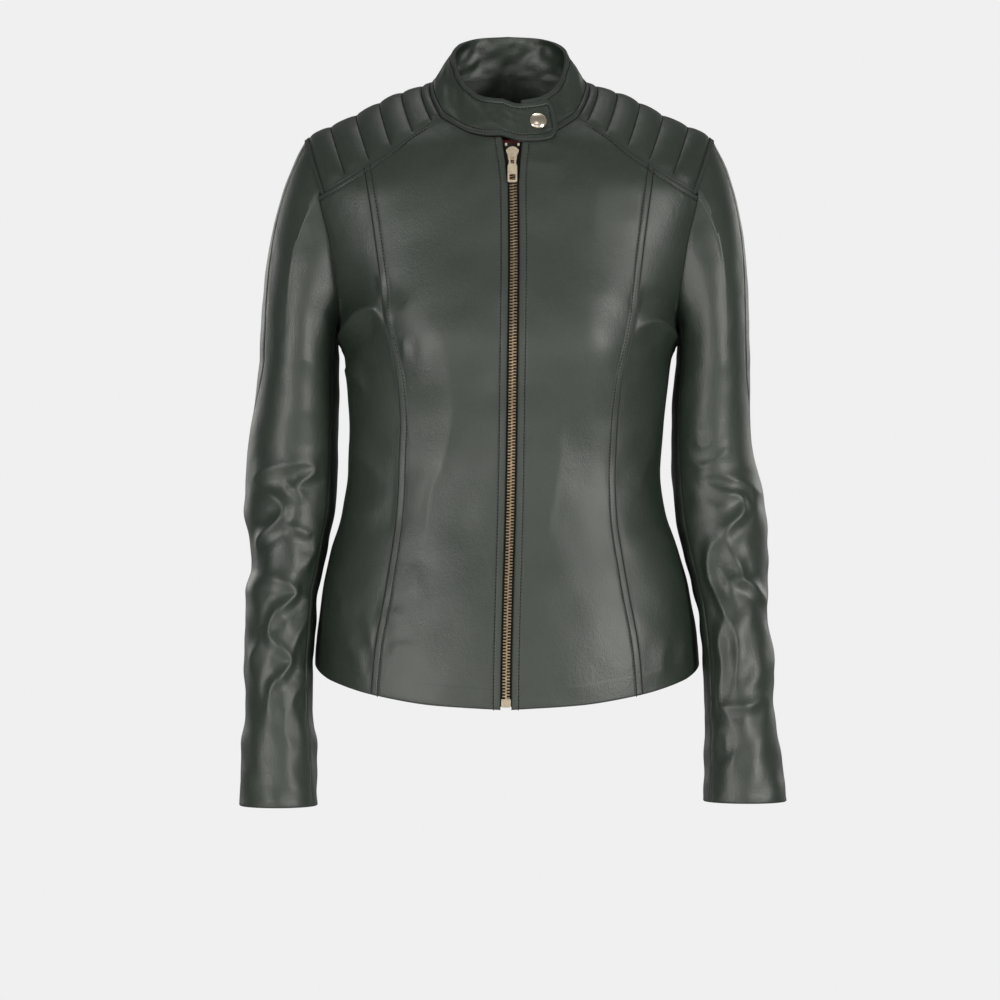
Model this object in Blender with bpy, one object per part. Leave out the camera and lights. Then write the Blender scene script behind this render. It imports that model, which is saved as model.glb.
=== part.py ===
"""Fitted leather biker jacket with quilted shoulders, filled out and empty.

Metres, +Z up. The front faces -Y, and the jacket's own left side is +X. The
origin is midway between the shoulders, level with the side of the neck seam.
The tables are in millimetres and degrees, and are turned into metres where a
mesh is made.
"""

import math
from typing import NamedTuple

import bmesh
import bpy
import numpy as np
from mathutils import Matrix, Vector

MM = 0.001

# Driving dimensions, in millimetres.
WALL = 2.0  # leather with its lining
COLLAR_WALL = 2.6  # two leathers and a stiffener
SEAM_GAP = 0.3
HALF_GAP = SEAM_GAP / 2
QUILT_PUFF = 2.4
QUILT_LINES = (0.07, 0.225, 0.405, 0.585, 0.785)  # shares of the yoke's width
QUILT_BORDER = 0.955  # the puffs end here, short of the armhole seam

SIDE_ROWS = 12  # rows of the body below the armholes
STRIP_ROWS = 20  # rows of the zip's tapes and chain
NECK_COLUMNS = 5
BACK_NECK_COLUMNS = 7
COLLAR_ROWS = 3


class BodySection(NamedTuple):
    """A level cut through the body: two half superellipses on one width."""

    z: float
    half_width: float
    front: float
    back: float
    front_square: float
    back_square: float
    front_shift: float  # how far the front's middle stands to the left
    sway: float  # how far the sides stand to the left


BODY = (
    BodySection(-600, 177.5, 121, 113, 2.25, 2.30, -2.4, -0.7),
    BodySection(-530, 176.5, 119, 111, 2.25, 2.30, -1.8, -0.8),
    BodySection(-460, 168.5, 112, 104, 2.25, 2.30, -0.2, -2.0),
    BodySection(-425, 160.0, 107, 96, 2.25, 2.30, 0.8, -3.0),
    BodySection(-390, 149.0, 103, 87, 2.25, 2.30, 1.8, -4.0),
    BodySection(-350, 143.5, 101, 80, 2.25, 2.30, 2.6, -3.6),
    BodySection(-310, 144.5, 105, 82, 2.25, 2.30, 3.2, -1.5),
    BodySection(-270, 148.0, 112, 88, 2.25, 2.30, 3.7, -0.5),
    BodySection(-235, 152.0, 116, 93, 2.25, 2.35, 4.1, 0),
    BodySection(-200, 160.0, 112, 97, 2.30, 2.40, 4.6, 0),
    BodySection(-150, 175.0, 101, 100, 2.45, 2.50, 5.0, 0),
    BodySection(-100, 186.0, 90, 96, 2.60, 2.50, 4.6, 0),
    BodySection(-60, 190.0, 79.5, 84, 1.80, 1.90, 3.8, 0),
    BodySection(-29, 158.0, 72, 73, 1.12, 1.30, 3.0, 0),
    BodySection(-10, 118.0, 68, 66, 1.10, 1.25, 3.0, 0),
    BodySection(16, 80.0, 60, 58, 1.40, 1.50, 2.0, 0),
)


class Swell(NamedTuple):
    """The fullness that the bust seam gives the front."""

    x: float
    z: float
    width: float
    height: float
    lift: float


BUST = Swell(x=84, z=-238, width=40, height=58, lift=8)


class SeamPoint(NamedTuple):
    """A point of a seam as seen from the front or the back."""

    x: float
    z: float


BUST_SEAM = (
    SeamPoint(122.0, -552),
    SeamPoint(119.0, -515),
    SeamPoint(109.0, -458),
    SeamPoint(105.0, -434),
    SeamPoint(99.5, -395),
    SeamPoint(97.5, -355),
    SeamPoint(97.5, -315),
    SeamPoint(100.0, -277),
    SeamPoint(106.0, -245),
    SeamPoint(113.0, -213),
    SeamPoint(118.5, -165),
    SeamPoint(124.5, -120),
    SeamPoint(131.0, -76.5),
)
YOKE_FRONT = (SeamPoint(62.3, -29.2), SeamPoint(131.0, -76.5), SeamPoint(170.5, -100))
ZIP_EDGE = (
    SeamPoint(4.9, -600),
    SeamPoint(4.9, -94),
    SeamPoint(6.0, -78),
    SeamPoint(8.0, -62),
    SeamPoint(9.2, -49.5),
)
ARMHOLE_BACK_CORNER_Y = 50
ARMHOLE_BACK_CORNER_Z = -90
YOKE_BACK_NECK = SeamPoint(60.0, 10)


class NeckPoint(NamedTuple):
    """A point of the neck seam, by its angle round the neck from the front."""

    angle: float
    x: float
    z: float


NECK_FRONT = (
    NeckPoint(0, 0.0, -49.5),
    NeckPoint(17, 20.0, -49.0),
    NeckPoint(31, 35.5, -45.7),
    NeckPoint(52, 56.0, -33.8),
    NeckPoint(60, 62.3, -29.2),
)
NECK_BACK = (NeckPoint(122, 60.0, 10), NeckPoint(150, 32.0, 13.6), NeckPoint(180, 0.0, 14.5))


class CollarTop(NamedTuple):
    """A point of the collar's top edge, by the same angle as the neck seam."""

    angle: float
    x: float
    y: float
    z: float


COLLAR_TOP = (
    CollarTop(0, 0.0, -62, -15.7),
    CollarTop(25, 23.6, -57, -11.8),
    CollarTop(48, 41.0, -42, 0.2),
    CollarTop(68, 49.0, -23, 17.0),
    CollarTop(90, 52.0, -3, 33.0),
    CollarTop(120, 45.5, 24, 45.0),
    CollarTop(150, 26.0, 41, 52.0),
    CollarTop(180, 0.0, 46, 54.0),
)
COLLAR_SHIFT = 3.5
TAB_END = 396.0
TAB_LIFT = 4.2
TAB_LIFT_START = 278.0
TAB_LIFT_FROM = 318.0
TAB_LIFT_TO = 357.0
TAB_DROP = 0.14
TAB_TOP_DROP = 0.13
TAB_CORNER = 11.0
TAB_RADIUS = 70.0  # from the neck's middle, to turn the tab's lengths into angles
TAB_EASE = 0.5  # more room under the collar where it lifts off its seam
TAB_DROP_FROM = 352.0
TAB_DROP_TO = 366.0
COLLAR_START = 8.0


class RidgePoint(NamedTuple):
    """A point on top of the shoulder, from the neck to the armhole."""

    share: float
    x: float
    y: float
    z: float


RIDGE = (
    RidgePoint(0.00, 73.0, -9, 0.5),
    RidgePoint(0.27, 104.0, -5, -6.5),
    RidgePoint(0.47, 127.0, -3, -17.0),
    RidgePoint(0.62, 145.0, -1, -26.0),
    RidgePoint(0.81, 167.0, 1, -35.5),
    RidgePoint(0.94, 182.0, 2, -42.5),
    RidgePoint(1.00, 188.5, 2, -47.0),
)
RIDGE_SHIFT = 1.2


class ArmholePoint(NamedTuple):
    """A point of the armhole from the side. 0 degrees is its top, 90 its front."""

    angle: float
    y: float
    z: float


ARMHOLE_CORNER = 40  # where the yoke seams meet the armhole
ARMHOLE_FRONT = (
    ArmholePoint(40, -46, -100),
    ArmholePoint(76, -50, -140),
    ArmholePoint(112, -44, -180),
    ArmholePoint(148, -27, -209),
    ArmholePoint(180, 2, -222),
)
ARMHOLE_BACK = (
    ArmholePoint(180, 2, -222),
    ArmholePoint(214, 34, -209),
    ArmholePoint(250, 55, -175),
    ArmholePoint(285, 58, -130),
    ArmholePoint(320, ARMHOLE_BACK_CORNER_Y, ARMHOLE_BACK_CORNER_Z),
)
TOP_STOPS = tuple(range(-ARMHOLE_CORNER, ARMHOLE_CORNER + 1, 10))
FRONT_STOPS = (40, 58, 76, 94, 112, 130, 148, 164, 180)
BACK_STOPS = (180, 203, 227, 250, 273, 297, 320)


class HemPoint(NamedTuple):
    """How low the hem hangs, by its angle round the body from the front."""

    angle: float
    z: float


HEM = (
    HemPoint(0, -565),
    HemPoint(30, -561),
    HemPoint(52, -552.5),
    HemPoint(70, -541),
    HemPoint(90, -528),
    HemPoint(120, -533),
    HemPoint(150, -541),
    HemPoint(180, -545),
)


class SleeveSection(NamedTuple):
    """A level cut through a sleeve, an ellipse between two sides."""

    z: float
    outer: float
    inner: float
    middle_y: float
    half_depth: float


SLEEVE_RIGHT = (
    SleeveSection(-250, 229.0, 155.5, 6, 60),
    SleeveSection(-285, 233.0, 155.5, 8, 58),
    SleeveSection(-318, 238.5, 156.5, 9, 56),
    SleeveSection(-353, 241.5, 157.0, 7, 53),
    SleeveSection(-383, 243.0, 158.5, 2, 51),
    SleeveSection(-421, 236.5, 166.0, -5, 48),
    SleeveSection(-440, 235.5, 169.5, -9, 47),
    SleeveSection(-462, 241.0, 174.0, -13, 46),
    SleeveSection(-498, 240.5, 176.5, -21, 45),
    SleeveSection(-533, 241.5, 178.5, -27, 43),
    SleeveSection(-566, 239.5, 178.5, -32, 42),
    SleeveSection(-600, 243.0, 174.5, -37, 41),
    SleeveSection(-655, 244.5, 173.5, -43, 40),
)
SLEEVE_LEFT = (
    SleeveSection(-250, 223.0, 155.0, 6, 60),
    SleeveSection(-285, 223.0, 151.5, 8, 58),
    SleeveSection(-318, 224.0, 150.5, 9, 56),
    SleeveSection(-337, 226.5, 150.5, 8, 55),
    SleeveSection(-364, 233.5, 151.5, 5, 52),
    SleeveSection(-396, 238.0, 154.5, -1, 50),
    SleeveSection(-426, 239.0, 161.0, -6, 48),
    SleeveSection(-455, 238.0, 168.5, -12, 46),
    SleeveSection(-485, 238.0, 174.5, -19, 45),
    SleeveSection(-527, 243.5, 178.0, -26, 43),
    SleeveSection(-562, 242.0, 179.0, -32, 42),
    SleeveSection(-600, 247.5, 179.0, -37, 41),
    SleeveSection(-651, 253.5, 177.5, -43, 40),
)
# How the sleeve leaves the armhole: the parts of its direction, and what the top
# and the front and back edges of the armhole add to them.
CAP_SIDEWAYS = 0.38
CAP_TOP_SIDEWAYS = 0.12
CAP_EDGE_SIDEWAYS = 0.22
CAP_FORWARDS = 0.16
CAP_DOWN = 0.87
CAP_EDGE_RISE = 0.20
SLEEVE_SPLAY = 0.03
SLEEVE_STAND_OFF = 0.05
SLEEVE_RADIUS = 45.0  # turns angles round a sleeve into lengths
EVEN_COLUMNS_FROM = -100.0
EVEN_COLUMNS_BELOW = -250.0
CAP_STEPS = (0, 0.07, 0.18, 0.34, 0.55, 0.78)  # shares of the way from the armhole down


class RowPoint(NamedTuple):
    """How far down the sleeve a row lies. The rows are close at the elbow."""

    row: int
    share: float


SLEEVE_ROWS = (RowPoint(0, 0.0), RowPoint(3, 0.18), RowPoint(13, 0.58), RowPoint(18, 1.0))


class SeamAngle(NamedTuple):
    """Where a sleeve seam runs round the sleeve, by height."""

    z: float
    angle: float


FRONT_SLEEVE_SEAM = 148.0
OUTER_SLEEVE_SEAM = (
    SeamAngle(-660, -42),
    SeamAngle(-400, -38),
    SeamAngle(-335, -12),
    SeamAngle(-292, 16),
    SeamAngle(-250, 33),
    SeamAngle(-180, 30),
    SeamAngle(-100, 22),
    SeamAngle(-40, 10),
)


class Fold(NamedTuple):
    """A crease ridge on a sleeve, from one place to another."""

    from_angle: float
    from_z: float
    to_angle: float
    to_z: float
    height: float
    width: float


FOLDS_RIGHT = (
    Fold(35, -352, 90, -336, 3.2, 11),
    Fold(90, -336, 135, -346, 3.0, 11),
    Fold(45, -372, 75, -396, 3.4, 10),
    Fold(75, -396, 35, -416, 3.0, 10),
    Fold(110, -372, 128, -398, 2.2, 11),
    Fold(60, -440, 120, -476, 3.0, 12),
    Fold(20, -474, 70, -500, 2.6, 13),
    Fold(70, -520, 105, -560, 1.8, 14),
    Fold(250, -350, 320, -366, 3.0, 13),
    Fold(240, -392, 310, -410, 2.8, 13),
    Fold(255, -440, 315, -462, 2.2, 14),
)
FOLDS_LEFT = (
    Fold(130, -346, 70, -334, 2.8, 11),
    Fold(120, -354, 62, -376, 3.2, 10),
    Fold(62, -376, 95, -404, 3.4, 10),
    Fold(95, -404, 60, -446, 2.6, 11),
    Fold(110, -428, 82, -490, 2.8, 12),
    Fold(82, -490, 92, -560, 2.2, 13),
    Fold(20, -474, 62, -492, 2.4, 12),
    Fold(250, -352, 320, -372, 3.0, 13),
    Fold(240, -398, 310, -414, 2.8, 13),
    Fold(255, -452, 315, -470, 2.2, 14),
)

# The zip. Depths are into the jacket from the leather's outer face.
CHAIN_HALF_WIDTH = 3.45
CHAIN_DEPTHS = (-0.2, 1.8)
TAPE_INNER_X = 0.5
TAPE_OUTER_X = 14.0
TAPE_DEPTHS = (3.1, 4.0)
TAPE_TOP = -54.0
TAPE_BOTTOM = -562.0
LINING_DEPTHS = (4.6, 5.8)
LINING_HALF_WIDTH = 15.0
LINING_TOP = -50.5
LINING_BOTTOM = -84.0
SLIDER_TOP = -58.5
SLIDER_DEPTHS = (-1.6, 2.1)
BRIDGE_WIDTH = 2.2
BRIDGE_BAR = 1.1
BRIDGE_INSIDE = 2.9
BRIDGE_TOP = -1.6
BRIDGE_LENGTH = 10.6
BRIDGE_ROOT = 1.0  # how far its legs run into the slider
BRIDGE_CORNER = 0.7
BRIDGE_INNER_CORNER = 0.3
PULL_THICKNESS = 1.2
PULL_EYE_WIDTH = 3.4
PULL_EYE_HEIGHT = 6.2
PULL_BAR = 0.75  # half of the bar that hangs in the bridge
PULL_WINDOW_WIDTH = 5.4
PULL_WINDOW_HEIGHT = 5.6
PULL_WINDOW_CORNER = 0.9
PULL_WINDOW_FROM_END = 2.0
CUTTER_DEPTHS = (-2.0, 2.0)
STOP_WIDTH = 2.0
STOP_HEIGHT = 2.6
STOP_CORNER = 0.6
STOP_DEPTHS = (-0.4, 1.9)
STOP_X = 5.6
STOP_Z = -56.5
BOX_WIDTH = 8.6
BOX_DEPTHS = (-0.9, 2.3)
BOX_TOP = -555.0
BOX_BOTTOM = -562.5
BOX_CORNER = 1.0


class OutlinePoint(NamedTuple):
    """A corner of a small metal piece, on one side of its middle line."""

    across: float
    up: float


SLIDER_OUTLINE = (
    OutlinePoint(3.8, -13.0),
    OutlinePoint(4.3, -8.0),
    OutlinePoint(5.7, -5.0),
    OutlinePoint(5.7, -3.4),
    OutlinePoint(3.1, -1.0),
    OutlinePoint(0.0, 0.0),
)
PULL_OUTLINE = (
    OutlinePoint(3.3, -24.75),
    OutlinePoint(4.3, -23.75),
    OutlinePoint(4.3, -9.5),
    OutlinePoint(3.2, -6.5),
    OutlinePoint(3.2, 0.05),
    OutlinePoint(2.3, PULL_BAR),
)

SNAP_RADIUS = 7.75
SNAP_RISE = 2.4
SNAP_ANGLE = 380.5
SNAP_SHARE = 0.36
SNAP_CLEARANCE = 0.35
SNAP_SIDES = 28
SNAP_SHARP_OVER = 40  # degrees between two faces


class CapPoint(NamedTuple):
    """A point of the press stud's profile, as shares of its radius and rise."""

    radius: float
    height: float


SNAP_PROFILE = (
    CapPoint(0.00, 1.00),
    CapPoint(0.45, 0.95),
    CapPoint(0.74, 0.80),
    CapPoint(0.87, 0.62),
    CapPoint(0.93, 0.70),
    CapPoint(1.00, 0.45),
    CapPoint(1.00, 0.00),
)


def smooth(x, known_x, known_y):
    """A curve through the known points that never overshoots them."""
    known_x = np.asarray(known_x, float)
    known_y = np.asarray(known_y, float)
    x = np.clip(np.asarray(x, float), known_x[0], known_x[-1])
    step = np.diff(known_x)
    slope = np.diff(known_y) / step
    tangent = np.empty_like(known_y)
    tangent[0] = slope[0]
    tangent[-1] = slope[-1]
    before = slope[:-1]
    after = slope[1:]
    total = np.where(np.abs(before + after) < 1e-12, 1.0, before + after)
    tangent[1:-1] = np.where(before * after > 0, 2 * before * after / total, 0.0)
    cell = np.clip(np.searchsorted(known_x, x, side="right") - 1, 0, len(step) - 1)
    t = (x - known_x[cell]) / step[cell]
    rise = (
        (t**3 - 2 * t**2 + t) * step[cell] * tangent[cell]
        + (t**3 - t**2) * step[cell] * tangent[cell + 1]
    )
    return (2 * t**3 - 3 * t**2 + 1) * known_y[cell] + (3 * t**2 - 2 * t**3) * known_y[cell + 1] + rise


def read(table, field, key, at):
    """One column of a table, at the given values of another column."""
    keys = [getattr(row, key) for row in table]
    values = [getattr(row, field) for row in table]
    if keys[0] > keys[-1]:
        keys.reverse()
        values.reverse()
    return smooth(at, keys, values)


def body(field, z):
    return read(BODY, field, "z", z)


def unit(vectors):
    return vectors / np.maximum(np.linalg.norm(vectors, axis=-1, keepdims=True), 1e-9)


def body_point(angle, z):
    """A point of the body's outer face. The angle in radians starts at the front."""
    angle, z = np.broadcast_arrays(np.asarray(angle, float), np.asarray(z, float))
    across = np.sin(angle)
    ahead = np.cos(angle)
    in_front = ahead > 0
    width = body("half_width", z)
    depth = np.where(in_front, body("front", z), body("back", z))
    square = np.where(in_front, body("front_square", z), body("back_square", z))
    reach = (np.abs(across / width) ** square + np.abs(ahead / depth) ** square) ** (-1 / square)
    x = reach * across
    y = -reach * ahead
    sideways = (np.abs(x) - BUST.x) / BUST.width
    upwards = (z - BUST.z) / BUST.height
    swell = BUST.lift * np.exp(-(sideways**2) - upwards**2)
    y = y - np.where(in_front, swell * np.clip(ahead, 0, 1) ** 0.5, 0)
    forward = np.clip(ahead, 0, 1) ** 2
    sway = body("sway", z)
    x = x + sway + (body("front_shift", z) - sway) * forward
    return np.stack([x, y, z], axis=-1)


def body_normal(angle, z):
    turn = 1e-3
    rise = 0.2
    along = body_point(angle + turn, z) - body_point(angle - turn, z)
    up = body_point(angle, z + rise) - body_point(angle, z - rise)
    return unit(np.cross(along, up))


def front_angle(x, z):
    """The angle at which the front passes through x, before its shift."""
    width = body("half_width", z)
    square = body("front_square", z)
    share = np.clip(1 - (np.abs(x) / width) ** square, 0, 1)
    return np.arctan2(x, body("front", z) * share ** (1 / square))


def back_angle(x, z):
    width = body("half_width", z)
    square = body("back_square", z)
    share = np.clip(1 - (np.abs(x) / width) ** square, 0, 1)
    return math.pi - np.arctan2(x, body("back", z) * share ** (1 / square))


def side_angle(y, z):
    """The angle at which the side passes through y."""
    ahead = np.asarray(y) < 0
    depth = np.where(ahead, body("front", z), body("back", z))
    square = np.where(ahead, body("front_square", z), body("back_square", z))
    share = np.clip(1 - (np.abs(y) / depth) ** square, 0, 1)
    return np.arctan2(body("half_width", z) * share ** (1 / square), -np.asarray(y, float))


def hem_edge(from_angle, to_angle, columns):
    angle = np.linspace(from_angle, to_angle, columns + 1)
    return np.stack([angle, read(HEM, "z", "angle", np.degrees(angle))], axis=-1)


def yoke_front(shares):
    """The front yoke seam, from the neck to the armhole, as angle and height."""
    first = YOKE_FRONT[0].x
    last = YOKE_FRONT[-1].x
    x = first + np.asarray(shares) * (last - first)
    z = read(YOKE_FRONT, "z", "x", x)
    return np.stack([front_angle(x, z), z], axis=-1)


def yoke_back(shares):
    """The back yoke seam, from the neck to the armhole."""
    shares = np.asarray(shares, float)
    neck = np.array([float(back_angle(YOKE_BACK_NECK.x, YOKE_BACK_NECK.z)), YOKE_BACK_NECK.z])
    angle = float(side_angle(ARMHOLE_BACK_CORNER_Y, ARMHOLE_BACK_CORNER_Z))
    corner_x = body_point(angle, ARMHOLE_BACK_CORNER_Z)[0]
    x = YOKE_BACK_NECK.x + shares * (corner_x - YOKE_BACK_NECK.x)
    drop = ARMHOLE_BACK_CORNER_Z - YOKE_BACK_NECK.z
    z = YOKE_BACK_NECK.z + drop * shares
    edge = np.stack([back_angle(x, z), z], axis=-1)
    edge[shares <= 0] = neck
    edge[shares >= 1] = (angle, ARMHOLE_BACK_CORNER_Z)
    return edge


def armhole_edge(table, stops):
    stops = np.asarray(stops, float)
    y = read(table, "y", "angle", stops)
    z = read(table, "z", "angle", stops)
    return np.stack([side_angle(y, z), z], axis=-1)


def neck_front(angles):
    x = read(NECK_FRONT, "x", "angle", angles)
    z = read(NECK_FRONT, "z", "angle", angles)
    return np.stack([front_angle(x, z), z], axis=-1)


def neck_back(angles):
    x = read(NECK_BACK, "x", "angle", angles)
    z = read(NECK_BACK, "z", "angle", angles)
    return np.stack([back_angle(x, z), z], axis=-1)


NECK_FRONT_STOPS = np.linspace(COLLAR_START, NECK_FRONT[-1].angle, NECK_COLUMNS + 1)
NECK_BACK_STOPS = np.linspace(NECK_BACK[0].angle, NECK_BACK[-1].angle, BACK_NECK_COLUMNS + 1)


def even_steps(start, *parts):
    """Values from the start in even steps, to the end that each part names."""
    values = np.array([float(start)])
    for end, steps in parts:
        values = np.concatenate([values, np.linspace(values[-1], end, steps + 1)[1:]])
    return values


def front_heights(low, high):
    """Heights for an upright seam of the front: its rows meet the side's rows."""
    return even_steps(low, (ARMHOLE_FRONT[-1].z, SIDE_ROWS), (high, len(FRONT_STOPS) - 1))


def bust_seam():
    z = front_heights(BUST_SEAM[0].z, BUST_SEAM[-1].z)
    return np.stack([front_angle(read(BUST_SEAM, "x", "z", z), z), z], axis=-1)


def zip_edge():
    top = neck_front([COLLAR_START])[0]
    z = front_heights(HEM[0].z, top[1])
    edge = np.stack([front_angle(read(ZIP_EDGE, "x", "z", z), z), z], axis=-1)
    edge[-1] = top
    return edge


def side_edge(table, stops):
    """The side seam from the hem up, and the armhole's edge above it."""
    low = float(read(HEM, "z", "angle", 90))
    z = np.linspace(low, ARMHOLE_BACK[0].z, SIDE_ROWS + 1)
    seam = np.stack([np.full_like(z, math.pi / 2), z], axis=-1)
    return np.concatenate([seam[:-1], armhole_edge(table, stops)])


def centre_back_seam():
    z = even_steps(
        HEM[-1].z,
        (ARMHOLE_BACK[0].z, SIDE_ROWS),
        (ARMHOLE_BACK[-1].z, len(BACK_STOPS) - 1),
        (NECK_BACK[-1].z, len(BACK_YOKE_STOPS) - 1),
    )
    return np.stack([np.full_like(z, math.pi), z], axis=-1)


def fill(bottom, right, top, left):
    """A grid of places between four edges. Each row runs from left to right."""
    across = np.linspace(0, 1, len(bottom))[None, :, None]
    up = np.linspace(0, 1, len(left))[:, None, None]
    ruled = (1 - up) * bottom[None] + up * top[None] + (1 - across) * left[:, None] + across * right[:, None]
    corners = (
        (1 - up) * (1 - across) * bottom[0]
        + (1 - up) * across * bottom[-1]
        + up * (1 - across) * top[0]
        + up * across * top[-1]
    )
    return ruled - corners


def set_back(grid, amount=HALF_GAP, edges=("bottom", "right", "top", "left")):
    """Moves the edges of a grid of points inwards, square to each edge."""
    moved = grid.copy()
    ways = {
        "bottom": (np.s_[0, :], np.s_[1, :]),
        "top": (np.s_[-1, :], np.s_[-2, :]),
        "left": (np.s_[:, 0], np.s_[:, 1]),
        "right": (np.s_[:, -1], np.s_[:, -2]),
    }
    for edge in edges:
        at, inside = ways[edge]
        line = grid[at]
        along = unit(np.gradient(line, axis=0))
        inwards = grid[inside] - line
        inwards = inwards - (inwards * along).sum(-1, keepdims=True) * along
        moved[at] += amount * unit(inwards)
    return moved


def panel(side, bottom, right, top, left):
    """The outer face of a body panel and its outward directions, on one side."""
    places = fill(bottom, right, top, left)
    angle = side * places[..., 0]
    outer = set_back(body_point(angle, places[..., 1]))
    return outer, body_normal(angle, places[..., 1])


def material(name, colour, roughness, metallic=0.0):
    made = bpy.data.materials.new(name)
    made.use_nodes = True
    shader = made.node_tree.nodes["Principled BSDF"]
    shader.inputs["Base Color"].default_value = (*colour, 1)
    shader.inputs["Roughness"].default_value = roughness
    shader.inputs["Metallic"].default_value = metallic
    return made


def add_object(name, points, faces, look, sharp=35):
    """A closed mesh object from points in metres."""
    mesh = bpy.data.meshes.new(name)
    mesh.from_pydata([tuple(p) for p in points], [], [tuple(f) for f in faces])
    tidy = bmesh.new()
    tidy.from_mesh(mesh)
    bmesh.ops.recalc_face_normals(tidy, faces=tidy.faces)
    tidy.to_mesh(mesh)
    tidy.free()
    mesh.shade_smooth()
    mesh.set_sharp_from_angle(angle=math.radians(sharp))
    mesh.materials.append(look)
    made = bpy.data.objects.new(name, mesh)
    bpy.context.scene.collection.objects.link(made)
    return made


def wall(name, outer, outwards, look, thickness=WALL, raised=None):
    """A sheet with thickness: outer points, inner points and four edges."""
    rows, columns = outer.shape[:2]
    inner = outer - thickness * outwards
    face = outer if raised is None else outer + raised[..., None] * outwards
    points = np.concatenate([face.reshape(-1, 3), inner.reshape(-1, 3)]) * MM
    below = rows * columns

    def at(i, j):
        return i * columns + j

    faces = []
    for i in range(rows - 1):
        for j in range(columns - 1):
            ring = (at(i, j), at(i, j + 1), at(i + 1, j + 1), at(i + 1, j))
            faces.append(ring)
            faces.append(tuple(below + k for k in reversed(ring)))
    rim = [at(0, j) for j in range(columns)]
    rim += [at(i, columns - 1) for i in range(1, rows)]
    rim += [at(rows - 1, j) for j in range(columns - 2, -1, -1)]
    rim += [at(i, 0) for i in range(rows - 2, 0, -1)]
    for k, here in enumerate(rim):
        after = rim[(k + 1) % len(rim)]
        faces.append((after, here, below + here, below + after))
    return add_object(name, points, faces, look)


def ridge_points(side, shares):
    x = read(RIDGE, "x", "share", shares)
    return np.stack(
        [side * x + RIDGE_SHIFT, read(RIDGE, "y", "share", shares), read(RIDGE, "z", "share", shares)],
        axis=-1,
    )


def shoulder_point(side, share, over):
    """A point of the shoulder panel's plain form.

    share runs from the neck to the armhole, and over from the front to the back.
    """
    share, over = np.broadcast_arrays(np.asarray(share, float), np.asarray(over, float))
    flat = share.reshape(-1)
    front_place = yoke_front(flat)
    back_place = yoke_back(flat)
    front = body_point(side * front_place[:, 0], front_place[:, 1])
    back = body_point(side * back_place[:, 0], back_place[:, 1])
    top = ridge_points(side, flat)
    t = over.reshape(-1, 1)
    made = (1 - t) * (1 - 2 * t) * front + 4 * t * (1 - t) * top + t * (2 * t - 1) * back
    return made.reshape(*share.shape, 3)


def shoulder_normal(side, share, over):
    """Outward directions of the shoulder panel. They match the body at its seams."""
    step = 1e-3
    share, over = np.broadcast_arrays(np.asarray(share, float), np.asarray(over, float))
    inner_share = np.clip(share, step, 1 - step)
    inner_over = np.clip(over, step, 1 - step)
    across = shoulder_point(side, inner_share + step, inner_over)
    across = across - shoulder_point(side, inner_share - step, inner_over)
    along = shoulder_point(side, inner_share, inner_over + step)
    along = along - shoulder_point(side, inner_share, inner_over - step)
    own = unit(np.cross(across, along)) * side
    flat = share.reshape(-1)
    front_place = yoke_front(flat)
    back_place = yoke_back(flat)
    front = body_normal(side * front_place[:, 0], front_place[:, 1]).reshape(own.shape)
    back = body_normal(side * back_place[:, 0], back_place[:, 1]).reshape(own.shape)
    own = np.where(over[..., None] <= 0, front, own)
    return np.where(over[..., None] >= 1, back, own)


def bust_share():
    """Where the bust seam meets the front yoke seam."""
    return (YOKE_FRONT[1].x - YOKE_FRONT[0].x) / (YOKE_FRONT[-1].x - YOKE_FRONT[0].x)


def channel_shares():
    """The columns of the quilted panel: two or four to each sewn channel. One of
    them is moved onto the bust seam, so that the panels share their corners."""
    lines = (0.0, *QUILT_LINES, 1.0)
    shares = [0.0]
    for low, high in zip(lines, lines[1:]):
        steps = (0.5, 1.0) if high - low < 0.1 else (0.22, 0.5, 0.78, 1.0)
        shares += [low + (high - low) * step for step in steps]
    shares = np.array(shares)
    shares[np.argmin(np.abs(shares - bust_share()))] = bust_share()
    return shares


# The yoke's stops for the panels below it. They are columns of the quilted panel.
CENTRE_YOKE_STOPS = (0.0, *QUILT_LINES[1:4], bust_share())
SIDE_YOKE_STOPS = tuple(share for share in channel_shares() if share >= bust_share())
FRONT_YOKE_STOPS = (*CENTRE_YOKE_STOPS, *SIDE_YOKE_STOPS[1:])
BACK_YOKE_STOPS = (0.0, *QUILT_LINES[1:], 1.0)


def puff(share, over):
    """How far the padding lifts the leather between the sewn lines."""
    lines = (0.0, *QUILT_LINES, QUILT_BORDER)
    lift = np.zeros_like(share)
    for low, high in zip(lines, lines[1:]):
        inside = (share > low) & (share < high)
        middle = np.abs(2 * (share - low) / (high - low) - 1)
        lift = np.where(inside, 1 - middle**2.4, lift)
    ends = np.clip(np.minimum(over, 1 - over) / 0.08, 0, 1)
    return QUILT_PUFF * lift * ends


def sleeve_table(side):
    return SLEEVE_LEFT if side > 0 else SLEEVE_RIGHT


def cuff_z(side):
    return sleeve_table(side)[-1].z


def sleeve_ring(side, angle, z):
    """A point of the sleeve's level section, and the way out from it."""
    table = sleeve_table(side)
    outer = read(table, "outer", "z", z)
    inner = read(table, "inner", "z", z)
    half_width = (outer - inner) / 2
    depth = read(table, "half_depth", "z", z)
    x = side * ((outer + inner) / 2 + half_width * np.cos(angle))
    y = read(table, "middle_y", "z", z) - depth * np.sin(angle)
    out = np.stack([side * depth * np.cos(angle), -half_width * np.sin(angle), np.zeros_like(x)], axis=-1)
    return np.stack([x, y, z], axis=-1), unit(out)


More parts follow.
